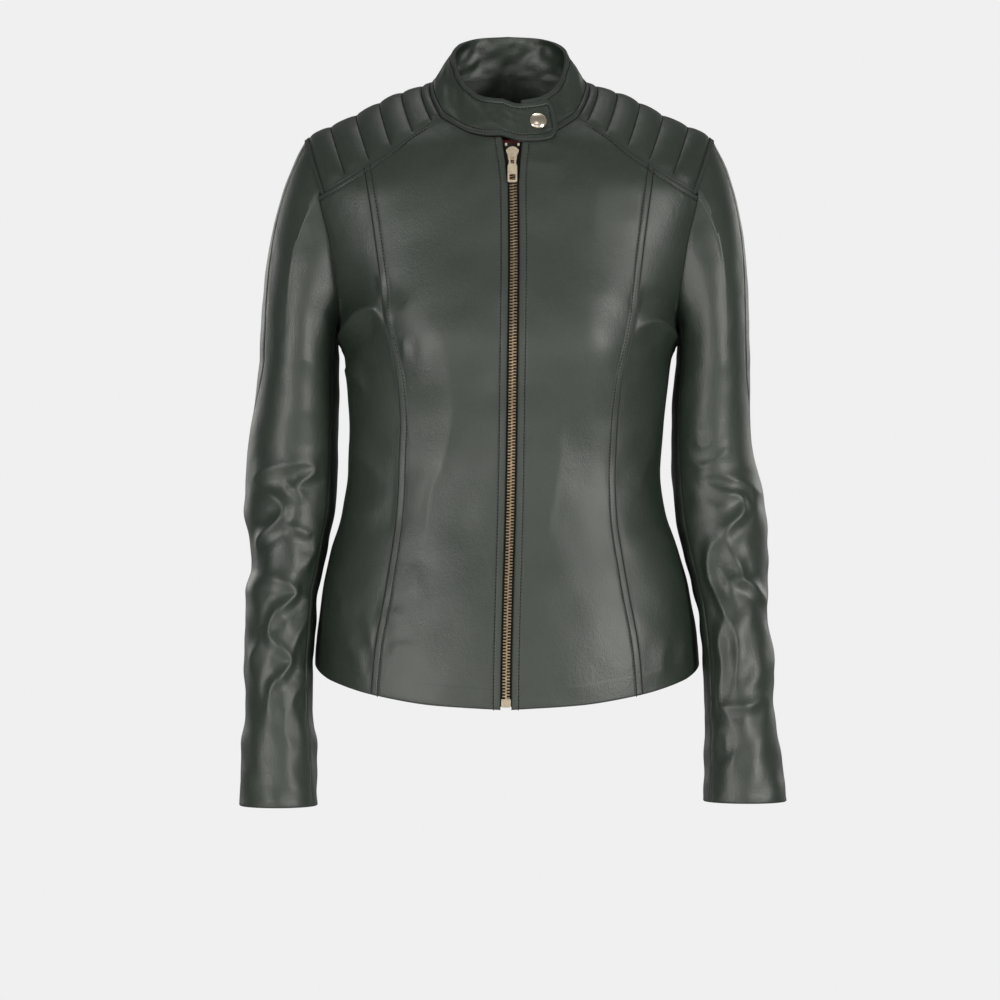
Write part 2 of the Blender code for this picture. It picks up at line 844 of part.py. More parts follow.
def fold_lift(side, angle, z):
    """How far the creases stand out at a place on the sleeve."""
    lift = np.zeros(np.broadcast(angle, z).shape)
    degrees = np.degrees(angle) % 360
    for fold in FOLDS_LEFT if side > 0 else FOLDS_RIGHT:
        start = np.array([math.radians(fold.from_angle) * SLEEVE_RADIUS, fold.from_z])
        end = np.array([math.radians(fold.to_angle) * SLEEVE_RADIUS, fold.to_z])
        here = np.stack(np.broadcast_arrays(np.radians(degrees) * SLEEVE_RADIUS, z), axis=-1)
        run = end - start
        share = np.clip(((here - start) @ run) / (run @ run), 0, 1)
        away = np.linalg.norm(here - start - share[..., None] * run, axis=-1)
        lift = lift + fold.height * np.exp(-((away / fold.width) ** 2))
    return lift


def seam_outwards(own, leaving, neighbour):
    """Outward directions at a seam's edge. Where the piece folds down from its
    neighbour they are the neighbour's, so that the two inner edges don't cross."""
    rise = np.einsum("ij,ij->i", unit(leaving), neighbour)
    share = np.clip(0.5 - 7 * rise, 0, 1)[:, None]
    return unit(share * neighbour + (1 - share) * own)


def armhole_points(side, stops):
    """Points of the armhole seam, and the body's outward directions there."""
    points = []
    normals = []
    for stop in stops:
        turn = (stop + 180) % 360 - 180
        if abs(turn) <= ARMHOLE_CORNER:
            over = (ARMHOLE_CORNER - turn) / (2 * ARMHOLE_CORNER)
            points.append(shoulder_point(side, 1.0, over))
            normals.append(shoulder_normal(side, 1.0, over))
            continue
        table = ARMHOLE_FRONT if turn % 360 <= 180 else ARMHOLE_BACK
        angle, z = armhole_edge(table, [turn % 360])[0]
        points.append(body_point(side * angle, z))
        normals.append(body_normal(side * angle, z))
    return np.array(points), np.array(normals)


def cap_start(side, angle):
    """The way the sleeve leaves the armhole seam."""
    edges = np.sin(angle) ** 2
    sideways = CAP_SIDEWAYS + CAP_TOP_SIDEWAYS * np.cos(angle) + CAP_EDGE_SIDEWAYS * edges
    forwards = -CAP_FORWARDS * np.sin(angle)
    down = CAP_EDGE_RISE * edges - CAP_DOWN
    return unit(np.stack([side * sideways, forwards, down], axis=-1))


def sleeve_angles(stops, z):
    """Where each column of a sleeve runs at one height. The first and the last
    columns are the outer seam, and the front seam's column keeps its angle."""
    stops = np.asarray(stops, float)
    outer = float(read(OUTER_SLEEVE_SEAM, "angle", "z", z))
    count = int(np.argmin(np.abs(stops - FRONT_SLEEVE_SEAM)))
    upper = np.linspace(outer, FRONT_SLEEVE_SEAM, count + 1)
    under = np.linspace(FRONT_SLEEVE_SEAM, 360 + outer, len(stops) - count)
    even = np.concatenate([upper, under[1:]])
    turn = 360 + outer - FRONT_SLEEVE_SEAM
    own_upper = outer + (FRONT_SLEEVE_SEAM - outer) * (stops - stops[0]) / (FRONT_SLEEVE_SEAM - stops[0])
    own_under = FRONT_SLEEVE_SEAM + turn * (stops - FRONT_SLEEVE_SEAM) / (stops[-1] - FRONT_SLEEVE_SEAM)
    own = np.where(stops <= FRONT_SLEEVE_SEAM, own_upper, own_under)
    blend = np.clip((EVEN_COLUMNS_FROM - z) / (EVEN_COLUMNS_FROM - EVEN_COLUMNS_BELOW), 0, 1)
    return np.radians(own + (even - own) * blend)


def sleeve_rows(side, stops):
    """The rows of a whole sleeve, from the armhole to the cuff."""
    start, body_out = armhole_points(side, stops)
    top_z = sleeve_table(side)[0].z
    start = start + np.array([side * (SEAM_GAP + SLEEVE_STAND_OFF), 0, 0])
    stop_angles = np.radians(np.asarray(stops, float))
    end, _ = sleeve_ring(side, sleeve_angles(stops, top_z), np.full(len(stops), float(top_z)))
    reach = np.linalg.norm(end - start, axis=-1, keepdims=True)
    leave = cap_start(side, stop_angles) * reach
    arrive = np.array([side * SLEEVE_SPLAY, 0, -1]) * reach
    rows = []
    for t in CAP_STEPS:
        rows.append(
            (2 * t**3 - 3 * t**2 + 1) * start
            + (t**3 - 2 * t**2 + t) * leave
            + (3 * t**2 - 2 * t**3) * end
            + (t**3 - t**2) * arrive
        )
    for row in range(SLEEVE_ROWS[-1].row + 1):
        down = float(read(SLEEVE_ROWS, "share", "row", row))
        z = np.full(len(stops), top_z + down * (cuff_z(side) - top_z))
        angle = sleeve_angles(stops, z[0])
        point, out = sleeve_ring(side, angle, z)
        rows.append(point + fold_lift(side, angle, z)[..., None] * out)
    grid = np.array(rows)
    looped = np.concatenate([grid[:, -2:-1], grid, grid[:, 1:2]], axis=1)
    along = np.gradient(looped, axis=1)[:, 1:-1]
    out = unit(np.cross(along, np.gradient(grid, axis=0))) * side
    out[0] = seam_outwards(out[0], leave, body_out)
    return grid, out


def neck_point(angle):
    """A point of the neck seam at an angle in degrees round the neck."""
    turn = (angle + 180) % 360 - 180
    side = -1 if turn < 0 else 1
    turn = abs(turn)
    front_end = NECK_FRONT[-1].angle
    back_end = NECK_BACK[0].angle
    if front_end < turn < back_end:
        return shoulder_point(side, 0.0, (turn - front_end) / (back_end - front_end))
    place = neck_front([turn])[0] if turn <= front_end else neck_back([turn])[0]
    return body_point(side * place[0], place[1])


def collar_top_point(angle):
    turn = (angle + 180) % 360 - 180
    side = -1 if turn < 0 else 1
    turn = abs(turn)
    x, y, z = (float(read(COLLAR_TOP, field, "angle", turn)) for field in ("x", "y", "z"))
    shift = COLLAR_SHIFT * 0.5 * (1 + math.cos(math.radians(turn)))
    return np.array([side * x + shift, y, z])


def tab_share(angle):
    """How much of the tab's lift the collar has at an angle, from 0 to 1."""
    return float(smooth(angle, (TAB_LIFT_START, TAB_LIFT_FROM, TAB_LIFT_TO, TAB_END), (0, 0, 1, 1)))


def collar_point(angle, share):
    """A point of the collar's outer face. share runs from its seam to its top."""
    base = neck_point(angle)
    top = collar_top_point(angle)
    point = base + (top - base) * share
    lift = TAB_LIFT * tab_share(angle)
    out = np.array([math.sin(math.radians(angle)), -math.cos(math.radians(angle)), 0.25])
    return point + lift * out / np.linalg.norm(out)


def collar_angles():
    """The collar's columns. They share the neck seam's stops with the panels."""
    front = list(NECK_FRONT_STOPS)
    side = list(np.linspace(NECK_FRONT[-1].angle, NECK_BACK[0].angle, len(TOP_STOPS)))
    back = list(NECK_BACK_STOPS)
    half = front + side[1:] + back[1:]
    other = [360 - angle for angle in reversed(half)]
    return np.array(half + other[1:] + [360])


def tab_angles():
    """The tab's columns past the zip, close together at its round end."""
    corner = [1 - math.cos(math.radians(turn)) for turn in (90, 66, 44, 22, 0)]
    straight_end = TAB_END - math.degrees(TAB_CORNER / TAB_RADIUS)
    rounded = [straight_end + (TAB_END - straight_end) * (1 - share) for share in corner]
    return [366.0, 372.0, *rounded]


def neck_outwards(angle):
    """The body's outward direction at the neck seam."""
    turn = (angle + 180) % 360 - 180
    side = -1 if turn < 0 else 1
    turn = abs(turn)
    front_end = NECK_FRONT[-1].angle
    back_end = NECK_BACK[0].angle
    if front_end < turn < back_end:
        return shoulder_normal(side, 0.0, (turn - front_end) / (back_end - front_end))
    place = neck_front([turn])[0] if turn <= front_end else neck_back([turn])[0]
    return body_normal(side * place[0], place[1])


def build_collar(look):
    angles = np.array([*collar_angles(), *tab_angles()])
    height = float(np.linalg.norm(collar_top_point(0) - neck_point(0)))
    columns = []
    for angle in angles:
        past = float(np.clip((angle - TAB_DROP_FROM) / (TAB_DROP_TO - TAB_DROP_FROM), 0, 1))
        seam = (HALF_GAP + TAB_EASE * min(1.0, 5 * tab_share(angle))) / height
        low = seam - (TAB_DROP + seam) * past
        high = 1 - TAB_TOP_DROP * past
        from_end = math.radians(TAB_END - angle) * TAB_RADIUS
        if from_end < TAB_CORNER:
            inset = TAB_CORNER - math.sqrt(max(TAB_CORNER**2 - (TAB_CORNER - from_end) ** 2, 0))
            low += inset / height
            high -= inset / height
        columns.append([collar_point(angle, s) for s in np.linspace(low, high, COLLAR_ROWS + 1)])
    grid = np.transpose(np.array(columns), (1, 0, 2))
    up = np.gradient(grid, axis=0)
    along = np.gradient(grid, axis=1)
    out = unit(np.cross(along, up))
    out[0] = seam_outwards(out[0], grid[1] - grid[0], np.array([neck_outwards(angle) for angle in angles]))
    return wall("collar", grid, out, look, thickness=COLLAR_WALL)


def snap_place():
    """The press stud's middle on the tab, and the way it faces."""
    here = collar_point(SNAP_ANGLE, SNAP_SHARE)
    along = collar_point(SNAP_ANGLE + 2, SNAP_SHARE) - collar_point(SNAP_ANGLE - 2, SNAP_SHARE)
    up = collar_point(SNAP_ANGLE, SNAP_SHARE + 0.1) - collar_point(SNAP_ANGLE, SNAP_SHARE - 0.1)
    return here, unit(np.cross(along, up))


def build_snap(look):
    """A turned cap with a rolled rim."""
    made = bmesh.new()
    rings = []
    for radius, height in SNAP_PROFILE[1:]:
        ring = []
        for k in range(SNAP_SIDES):
            turn = math.tau * k / SNAP_SIDES
            ring.append(made.verts.new((
                SNAP_RADIUS * radius * math.cos(turn) * MM,
                SNAP_RADIUS * radius * math.sin(turn) * MM,
                SNAP_RISE * height * MM,
            )))
        rings.append(ring)
    tip = made.verts.new((0, 0, SNAP_RISE * SNAP_PROFILE[0][1] * MM))
    for k in range(SNAP_SIDES):
        after = (k + 1) % SNAP_SIDES
        made.faces.new((tip, rings[0][k], rings[0][after]))
        for inner, outer in zip(rings, rings[1:]):
            made.faces.new((inner[k], outer[k], outer[after], inner[after]))
    made.faces.new(list(reversed(rings[-1])))
    bmesh.ops.recalc_face_normals(made, faces=made.faces)
    mesh = bpy.data.meshes.new("snap_cap")
    made.to_mesh(mesh)
    made.free()
    mesh.shade_smooth()
    mesh.set_sharp_from_angle(angle=math.radians(SNAP_SHARP_OVER))
    mesh.materials.append(look)
    cap = bpy.data.objects.new("snap_cap", mesh)
    place, facing = snap_place()
    facing = Vector(facing)
    cap.location = (Vector(place) + facing * SNAP_CLEARANCE) * MM
    cap.rotation_euler = facing.to_track_quat("Z", "Y").to_euler()
    bpy.context.scene.collection.objects.link(cap)


def build_front(side, word, look):
    neck = neck_front(NECK_FRONT_STOPS)
    yoke = yoke_front(CENTRE_YOKE_STOPS)
    top = np.concatenate([neck, yoke[1:]])
    seam = bust_seam()
    edge = zip_edge()
    bottom = hem_edge(edge[0, 0], seam[0, 0], len(top) - 1)
    bottom[0] = edge[0]
    bottom[-1] = seam[0]
    outer, out = panel(side, bottom, seam, top, edge)
    wall("front_centre_" + word, outer, out, look)

    top = yoke_front(SIDE_YOKE_STOPS)
    edge = side_edge(ARMHOLE_FRONT, FRONT_STOPS[::-1])
    edge[-1] = top[-1]
    bottom = hem_edge(seam[0, 0], math.pi / 2, len(top) - 1)
    bottom[0] = seam[0]
    outer, out = panel(side, bottom, edge, top, seam)
    wall("front_side_" + word, outer, out, look)


def build_back(side, word, look):
    edge = np.concatenate([side_edge(ARMHOLE_BACK, BACK_STOPS), yoke_back(BACK_YOKE_STOPS[::-1])[1:]])
    top = neck_back(NECK_BACK_STOPS)
    bottom = hem_edge(math.pi / 2, math.pi, len(top) - 1)
    outer, out = panel(side, bottom, centre_back_seam(), top, edge)
    wall("back_" + word, outer, out, look)


def along_edge(shares, stops, values):
    """Values read along straight lines between the stops, as on a mesh's edge."""
    return np.stack([np.interp(shares, stops, column) for column in values.T], axis=-1)


def build_shoulder(side, word, look):
    shares = channel_shares()
    over = np.linspace(0, 1, len(TOP_STOPS))
    plain = shoulder_point(side, shares[None, :], over[:, None])
    out = shoulder_normal(side, shares[None, :], over[:, None])
    edges = ((0, yoke_front, np.array(FRONT_YOKE_STOPS)), (-1, yoke_back, np.array(BACK_YOKE_STOPS)))
    for row, seam, stops in edges:
        place = seam(stops)
        plain[row] = along_edge(shares, stops, body_point(side * place[:, 0], place[:, 1]))
        out[row] = along_edge(shares, stops, body_normal(side * place[:, 0], place[:, 1]))
    lift = puff(*np.broadcast_arrays(shares[None, :], over[:, None]))
    wall("shoulder_quilt_" + word, set_back(plain), out, look, raised=lift)


def build_sleeve(side, word, look):
    upper = [10, 20, 30, *FRONT_STOPS[:7]]
    under = [*FRONT_STOPS[7:], *BACK_STOPS[1:], *(360 + stop for stop in TOP_STOPS[1:6])]
    grid, out = sleeve_rows(side, upper + under)
    last = len(upper)
    pieces = (("sleeve_upper_", np.s_[:, :last]), ("sleeve_under_", np.s_[:, last - 1 :]))
    for name, columns in pieces:
        outer = set_back(grid[columns], edges=("left", "right"))
        wall(name + word, outer, out[columns], look)


def front_strip(name, x_range, depths, z_range, look, columns=1, rows=STRIP_ROWS):
    """A strip that follows the front's middle, a little inside its outer face."""
    x = np.linspace(*x_range, columns + 1)[None, :]
    z = np.linspace(*z_range, rows + 1)[:, None]
    angle, z = np.broadcast_arrays(front_angle(x, z), z)
    out = body_normal(angle, z)
    wall(name, body_point(angle, z) - depths[0] * out, out, look, thickness=depths[1] - depths[0])


class ZipFrame(NamedTuple):
    """A place on the zip's line: its middle, its tilt and its outward way."""

    place: Vector
    tilt: float


def zip_frame(z):
    point = body_point(0.0, z)
    up = body_point(0.0, z + 5.0) - body_point(0.0, z - 5.0)
    return ZipFrame(Vector(point) * MM, math.atan2(-up[1], up[2]))


def outline_block(name, outline, depths, look):
    """A flat piece cut to an outline. Its outline is across and up, in millimetres."""
    count = len(outline)
    points = [(x * MM, depth * MM, z * MM) for depth in depths for x, z in outline]
    faces = [tuple(range(count)), tuple(reversed(range(count, 2 * count)))]
    for k in range(count):
        after = (k + 1) % count
        faces.append((k, after, count + after, count + k))
    return add_object(name, points, faces, look)


def mirrored(half):
    """A whole outline from its half, which runs up one side to the middle line."""
    return list(half) + [(-x, z) for x, z in reversed(half) if x > 0]


def rectangle(width, low, high):
    return [(-width / 2, low), (width / 2, low), (width / 2, high), (-width / 2, high)]


def rounded_bar(width, low, high, corner, steps=3):
    """A rectangle with round corners."""
    outline = []
    for x, z, start in (
        (width / 2 - corner, low + corner, -90),
        (width / 2 - corner, high - corner, 0),
        (-width / 2 + corner, high - corner, 90),
        (-width / 2 + corner, low + corner, 180),
    ):
        for k in range(steps + 1):
            turn = math.radians(start + 90 * k / steps)
            outline.append((x + corner * math.cos(turn), z + corner * math.sin(turn)))
    return outline


def combine(base, tool, operation):
    """Joins a tool to a piece, or cuts it away, and hides the tool."""
    tool.hide_render = True
    tool.display_type = "WIRE"
    step = base.modifiers.new(tool.name, "BOOLEAN")
    step.operation = operation
    step.object = tool


def set_on_zip(piece, z, out=0.0):
    frame = zip_frame(z)
    turn = Matrix.Rotation(frame.tilt, 4, "X")
    piece.matrix_world = Matrix.Translation(frame.place) @ turn @ Matrix.Translation((0, -out * MM, 0))


def build_slider(look):
    """The slider's body, with the bridge that its pull hangs from."""
    slider = outline_block("zip_slider", mirrored(SLIDER_OUTLINE), SLIDER_DEPTHS, look)
    face = SLIDER_DEPTHS[0]
    root = face + BRIDGE_ROOT
    low = BRIDGE_TOP - BRIDGE_LENGTH
    out = face - BRIDGE_INSIDE - BRIDGE_BAR
    inside = out + BRIDGE_BAR
    profile = [
        (root, BRIDGE_TOP),
        (out + BRIDGE_CORNER, BRIDGE_TOP),
        (out, BRIDGE_TOP - BRIDGE_CORNER),
        (out, low + BRIDGE_CORNER),
        (out + BRIDGE_CORNER, low),
        (root, low),
        (root, low + BRIDGE_BAR),
        (inside + BRIDGE_INNER_CORNER, low + BRIDGE_BAR),
        (inside, low + BRIDGE_BAR + BRIDGE_INNER_CORNER),
        (inside, BRIDGE_TOP - BRIDGE_BAR - BRIDGE_INNER_CORNER),
        (inside + BRIDGE_INNER_CORNER, BRIDGE_TOP - BRIDGE_BAR),
        (root, BRIDGE_TOP - BRIDGE_BAR),
    ]
    count = len(profile)
    points = [(x * BRIDGE_WIDTH / 2 * MM, y * MM, z * MM) for x in (-1, 1) for y, z in profile]
    faces = [tuple(range(count)), tuple(reversed(range(count, 2 * count)))]
    for k in range(count):
        after = (k + 1) % count
        faces.append((k, after, count + after, count + k))
    bridge = add_object("zip_bridge_form", points, faces, look)
    combine(slider, bridge, "UNION")
    set_on_zip(slider, SLIDER_TOP)
    set_on_zip(bridge, SLIDER_TOP)


def pull_pivot():
    """Where the pull's top bar lies in the bridge, below the slider's top."""
    depth = SLIDER_DEPTHS[0] - BRIDGE_INSIDE / 2
    height = BRIDGE_TOP - BRIDGE_LENGTH + BRIDGE_BAR + PULL_BAR + SEAM_GAP
    return depth, height


def build_pull(look):
    """The pull tab, with its origin on its hinge's axis."""
    half = PULL_THICKNESS / 2
    pull = outline_block("zip_pull", mirrored(PULL_OUTLINE), (-half, half), look)
    eye_outline = rectangle(PULL_EYE_WIDTH, -PULL_BAR - PULL_EYE_HEIGHT, -PULL_BAR)
    eye = outline_block("zip_pull_eye", eye_outline, CUTTER_DEPTHS, look)
    low = PULL_OUTLINE[0].up + PULL_WINDOW_FROM_END
    window_outline = rounded_bar(PULL_WINDOW_WIDTH, low, low + PULL_WINDOW_HEIGHT, PULL_WINDOW_CORNER)
    window = outline_block("zip_pull_window", window_outline, CUTTER_DEPTHS, look)
    combine(pull, eye, "DIFFERENCE")
    combine(pull, window, "DIFFERENCE")
    depth, height = pull_pivot()
    frame = zip_frame(SLIDER_TOP)
    turn = Matrix.Rotation(frame.tilt, 4, "X")
    place = Matrix.Translation(frame.place) @ turn @ Matrix.Translation((0, depth * MM, height * MM))
    for piece in (pull, eye, window):
        piece.matrix_world = place


def build_zip(metal, teeth, cloth):
    for side, word in ((-1, "right"), (1, "left")):
        inner = side * TAPE_INNER_X
        outer = side * TAPE_OUTER_X
        x_range = (inner, outer) if side > 0 else (outer, inner)
        front_strip("zip_tape_" + word, x_range, TAPE_DEPTHS, (TAPE_BOTTOM, TAPE_TOP), cloth)
        stop_outline = rounded_bar(STOP_WIDTH, -STOP_HEIGHT / 2, STOP_HEIGHT / 2, STOP_CORNER, 2)
        stop = outline_block("zip_stop_" + word, stop_outline, STOP_DEPTHS, metal)
        frame = zip_frame(STOP_Z)
        shift = Matrix.Translation((side * STOP_X * MM, 0, 0))
        stop.matrix_world = shift @ Matrix.Translation(frame.place) @ Matrix.Rotation(frame.tilt, 4, "X")
    chain_top = SLIDER_TOP + SLIDER_OUTLINE[0].up - SEAM_GAP
    chain_x = (-CHAIN_HALF_WIDTH, CHAIN_HALF_WIDTH)
    front_strip("zip_chain", chain_x, CHAIN_DEPTHS, (BOX_TOP + 1.0, chain_top), teeth)
    box_outline = rounded_bar(BOX_WIDTH, BOX_BOTTOM - BOX_TOP, 0, BOX_CORNER)
    box = outline_block("zip_box", box_outline, BOX_DEPTHS, metal)
    set_on_zip(box, BOX_TOP)
    build_slider(metal)
    build_pull(metal)


def main():
    for leftover in list(bpy.data.objects):
        bpy.data.objects.remove(leftover)
    leather = material("leather", (0.045, 0.055, 0.046), 0.42)
    lining = material("lining", (0.045, 0.006, 0.008), 0.6)
    tape = material("zip_tape", (0.02, 0.021, 0.019), 0.8)
    metal = material("pale_brass", (0.72, 0.66, 0.53), 0.28, 1.0)
    teeth = material("brass_teeth", (0.42, 0.33, 0.2), 0.36, 1.0)
    for side, word in ((-1, "right"), (1, "left")):
        build_front(side, word, leather)
        build_back(side, word, leather)
        build_shoulder(side, word, leather)
        build_sleeve(side, word, leather)
    build_collar(leather)
    build_snap(metal)
    build_zip(metal, teeth, tape)
    lining_x = (-LINING_HALF_WIDTH, LINING_HALF_WIDTH)
    front_strip("throat_lining", lining_x, LINING_DEPTHS, (LINING_BOTTOM, LINING_TOP), lining, 4, 4)


main()
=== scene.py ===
"""Looks of a fitted leather biker jacket with quilted shoulders.

Metres, +Z up. The front faces -Y, and the jacket's own left side is +X. The
tables are in millimetres and degrees, and are turned into metres where a mesh
is made. Each sub-assembly is a class whose fields are its sizes, and whose
build method makes its pieces.
"""

import logging
import math
from dataclasses import dataclass
from enum import Enum
from functools import cached_property
from typing import NamedTuple, Sequence

import bmesh
import bpy
import numpy as np
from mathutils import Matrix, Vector


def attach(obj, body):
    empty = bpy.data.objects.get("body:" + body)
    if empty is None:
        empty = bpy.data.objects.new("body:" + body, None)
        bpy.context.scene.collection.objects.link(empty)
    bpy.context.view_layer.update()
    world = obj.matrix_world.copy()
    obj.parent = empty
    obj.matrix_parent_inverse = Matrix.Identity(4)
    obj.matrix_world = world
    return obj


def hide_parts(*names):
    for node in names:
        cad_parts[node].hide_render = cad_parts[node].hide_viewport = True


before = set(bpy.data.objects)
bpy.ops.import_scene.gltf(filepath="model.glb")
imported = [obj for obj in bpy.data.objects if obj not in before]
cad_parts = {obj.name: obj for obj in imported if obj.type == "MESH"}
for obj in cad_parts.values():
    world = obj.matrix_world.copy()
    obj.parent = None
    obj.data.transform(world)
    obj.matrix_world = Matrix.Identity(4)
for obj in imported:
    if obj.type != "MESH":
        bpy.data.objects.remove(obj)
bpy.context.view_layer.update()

MM = 0.001
WALL = 2.0  # leather with its lining
COLLAR_WALL = 2.6
STITCH_PITCH = 3.1
QUIET_BORDER = 7.0  # how far in from a seam the creases fade
TURNED_LIFT = 0.16  # how far a turned-up hem lifts the outer face
STITCH_LIFT = 0.60  # how far the seam allowance lifts it, up to the topstitch
STITCH_PULL = 0.52  # how far the topstitch pulls it in

log = logging.getLogger("jacket")
Array = np.ndarray


class Side(Enum):
    """The jacket's own sides."""

    RIGHT = -1
    LEFT = 1

    @property
    def word(self) -> str:
        """The side as it stands in a piece's name."""
        return self.name.lower()


def table_of(kind: type, *values: tuple[float, ...]) -> tuple:
    """A table whose rows all have the named columns of one kind."""
    return tuple(kind(*row) for row in values)


class BodySection(NamedTuple):
    """A level cut through the body: two half superellipses on one width."""

    z: float
    half_width: float
    front: float
    back: float
    front_square: float
    back_square: float
    front_shift: float
    sway: float


BODY = table_of(
    BodySection,
    (-600, 177.5, 121, 113, 2.25, 2.30, -2.4, -0.7),
    (-530, 176.5, 119, 111, 2.25, 2.30, -1.8, -0.8),
    (-460, 168.5, 112, 104, 2.25, 2.30, -0.2, -2.0),
    (-425, 160.0, 107, 96, 2.25, 2.30, 0.8, -3.0),
    (-390, 149.0, 103, 87, 2.25, 2.30, 1.8, -4.0),
    (-350, 143.5, 101, 80, 2.25, 2.30, 2.6, -3.6),
    (-310, 144.5, 105, 82, 2.25, 2.30, 3.2, -1.5),
    (-270, 148.0, 112, 88, 2.25, 2.30, 3.7, -0.5),
    (-235, 152.0, 116, 93, 2.25, 2.35, 4.1, 0),
    (-200, 160.0, 112, 97, 2.30, 2.40, 4.6, 0),
    (-150, 175.0, 101, 100, 2.45, 2.50, 5.0, 0),
    (-100, 186.0, 90, 96, 2.60, 2.50, 4.6, 0),
    (-60, 190.0, 79.5, 84, 1.80, 1.90, 3.8, 0),
    (-29, 158.0, 72, 73, 1.12, 1.30, 3.0, 0),
    (-10, 118.0, 68, 66, 1.10, 1.25, 3.0, 0),
    (16, 80.0, 60, 58, 1.40, 1.50, 2.0, 0),
)


class Swell(NamedTuple):
    """The fullness that the bust seam gives the front."""

    x: float
    z: float
    width: float
    height: float
    lift: float


BUST = Swell(x=84, z=-238, width=40, height=58, lift=8)


class SeamPoint(NamedTuple):
    """A point of a seam as seen from the front or the back."""

    x: float
    z: float


BUST_SEAM = table_of(
    SeamPoint,
    (122.0, -552),
    (119.0, -515),
    (109.0, -458),
    (105.0, -434),
    (99.5, -395),
    (97.5, -355),
    (97.5, -315),
    (100.0, -277),
    (106.0, -245),
    (113.0, -213),
    (118.5, -165),
    (124.5, -120),
    (131.0, -76.5),
)
YOKE_FRONT = (SeamPoint(62.3, -29.2), SeamPoint(131.0, -76.5), SeamPoint(170.5, -100))
ZIP_EDGE = table_of(
    SeamPoint,
    (4.9, -600),
    (4.9, -94),
    (6.0, -78),
    (8.0, -62),
    (9.2, -49.5),
)
YOKE_BACK_NECK = SeamPoint(60.0, 10)


class NeckPoint(NamedTuple):
    """A point of the neck seam, by its angle round the neck from the front."""

    angle: float
    x: float
    z: float


NECK_FRONT = table_of(
    NeckPoint,
    (0, 0.0, -49.5),
    (17, 20.0, -49.0),
    (31, 35.5, -45.7),
    (52, 56.0, -33.8),
    (60, 62.3, -29.2),
)
NECK_BACK = (NeckPoint(122, 60.0, 10), NeckPoint(150, 32.0, 13.6), NeckPoint(180, 0.0, 14.5))


class CollarTop(NamedTuple):
    """A point of the collar's top edge, by the same angle as the neck seam."""

    angle: float
    x: float
    y: float
    z: float


COLLAR_TOP = table_of(
    CollarTop,
    (0, 0.0, -62, -15.7),
    (25, 23.6, -57, -11.8),
    (48, 41.0, -42, 0.2),
    (68, 49.0, -23, 17.0),
    (90, 52.0, -3, 33.0),
    (120, 45.5, 24, 45.0),
    (150, 26.0, 41, 52.0),
    (180, 0.0, 46, 54.0),
)


class RidgePoint(NamedTuple):
    """A point on top of the shoulder, from the neck to the armhole."""

    share: float
    x: float
    y: float
    z: float


RIDGE = table_of(
    RidgePoint,
    (0.00, 73.0, -9, 0.5),
    (0.27, 104.0, -5, -6.5),
    (0.47, 127.0, -3, -17.0),
    (0.62, 145.0, -1, -26.0),
    (0.81, 167.0, 1, -35.5),
    (0.94, 182.0, 2, -42.5),
    (1.00, 188.5, 2, -47.0),
)


class ArmholePoint(NamedTuple):
    """A point of the armhole from the side. 0 degrees is its top, 90 its front."""

    angle: float
    y: float
    z: float


ARMHOLE_CORNER = 40
ARMHOLE_BACK_TOP = ArmholePoint(320, 50, -90)
ARMHOLE_FRONT = table_of(
    ArmholePoint,
    (40, -46, -100),
    (76, -50, -140),
    (112, -44, -180),
    (148, -27, -209),
    (180, 2, -222),
)
ARMHOLE_BACK = (
    ArmholePoint(180, 2, -222),
    ArmholePoint(214, 34, -209),
    ArmholePoint(250, 55, -175),
    ArmholePoint(285, 58, -130),
    ARMHOLE_BACK_TOP,
)


class HemPoint(NamedTuple):
    """How low the hem hangs, by its angle round the body from the front."""

    angle: float
    z: float


HEM = table_of(
    HemPoint,
    (0, -565),
    (30, -561),
    (52, -552.5),
    (70, -541),
    (90, -528),
    (120, -533),
    (150, -541),
    (180, -545),
)


class SleeveSection(NamedTuple):
    """A level cut through a sleeve, an ellipse between two sides."""

    z: float
    outer: float
    inner: float
    middle_y: float
    half_depth: float


SLEEVES = {
    Side.RIGHT: table_of(
        SleeveSection,
        (-250, 229.0, 155.5, 6, 60),
        (-285, 233.0, 155.5, 8, 58),
        (-318, 238.5, 156.5, 9, 56),
        (-353, 241.5, 157.0, 7, 53),
        (-383, 243.0, 158.5, 2, 51),
        (-421, 236.5, 166.0, -5, 48),
        (-440, 235.5, 169.5, -9, 47),
        (-462, 241.0, 174.0, -13, 46),
        (-498, 240.5, 176.5, -21, 45),
        (-533, 241.5, 178.5, -27, 43),
        (-566, 239.5, 178.5, -32, 42),
        (-600, 243.0, 174.5, -37, 41),
        (-655, 244.5, 173.5, -43, 40),
    ),
    Side.LEFT: table_of(
        SleeveSection,
        (-250, 223.0, 155.0, 6, 60),
        (-285, 223.0, 151.5, 8, 58),
        (-318, 224.0, 150.5, 9, 56),
        (-337, 226.5, 150.5, 8, 55),
        (-364, 233.5, 151.5, 5, 52),
        (-396, 238.0, 154.5, -1, 50),
        (-426, 239.0, 161.0, -6, 48),
        (-455, 238.0, 168.5, -12, 46),
        (-485, 238.0, 174.5, -19, 45),
        (-527, 243.5, 178.0, -26, 43),
        (-562, 242.0, 179.0, -32, 42),
        (-600, 247.5, 179.0, -37, 41),
        (-651, 253.5, 177.5, -43, 40),
    ),
}


class SeamAngle(NamedTuple):
    """Where a sleeve seam runs round the sleeve, by height."""

    z: float
    angle: float


OUTER_SLEEVE_SEAM = table_of(
    SeamAngle,
    (-660, -42),
    (-400, -38),
    (-335, -12),
    (-292, 16),
    (-250, 33),
    (-180, 30),
    (-100, 22),
    (-40, 10),
)


class Crease(NamedTuple):
    """A ridge that a fold leaves, through points of across or angle, and height."""

    height: float
    width: float
    path: tuple[tuple[float, float], ...]


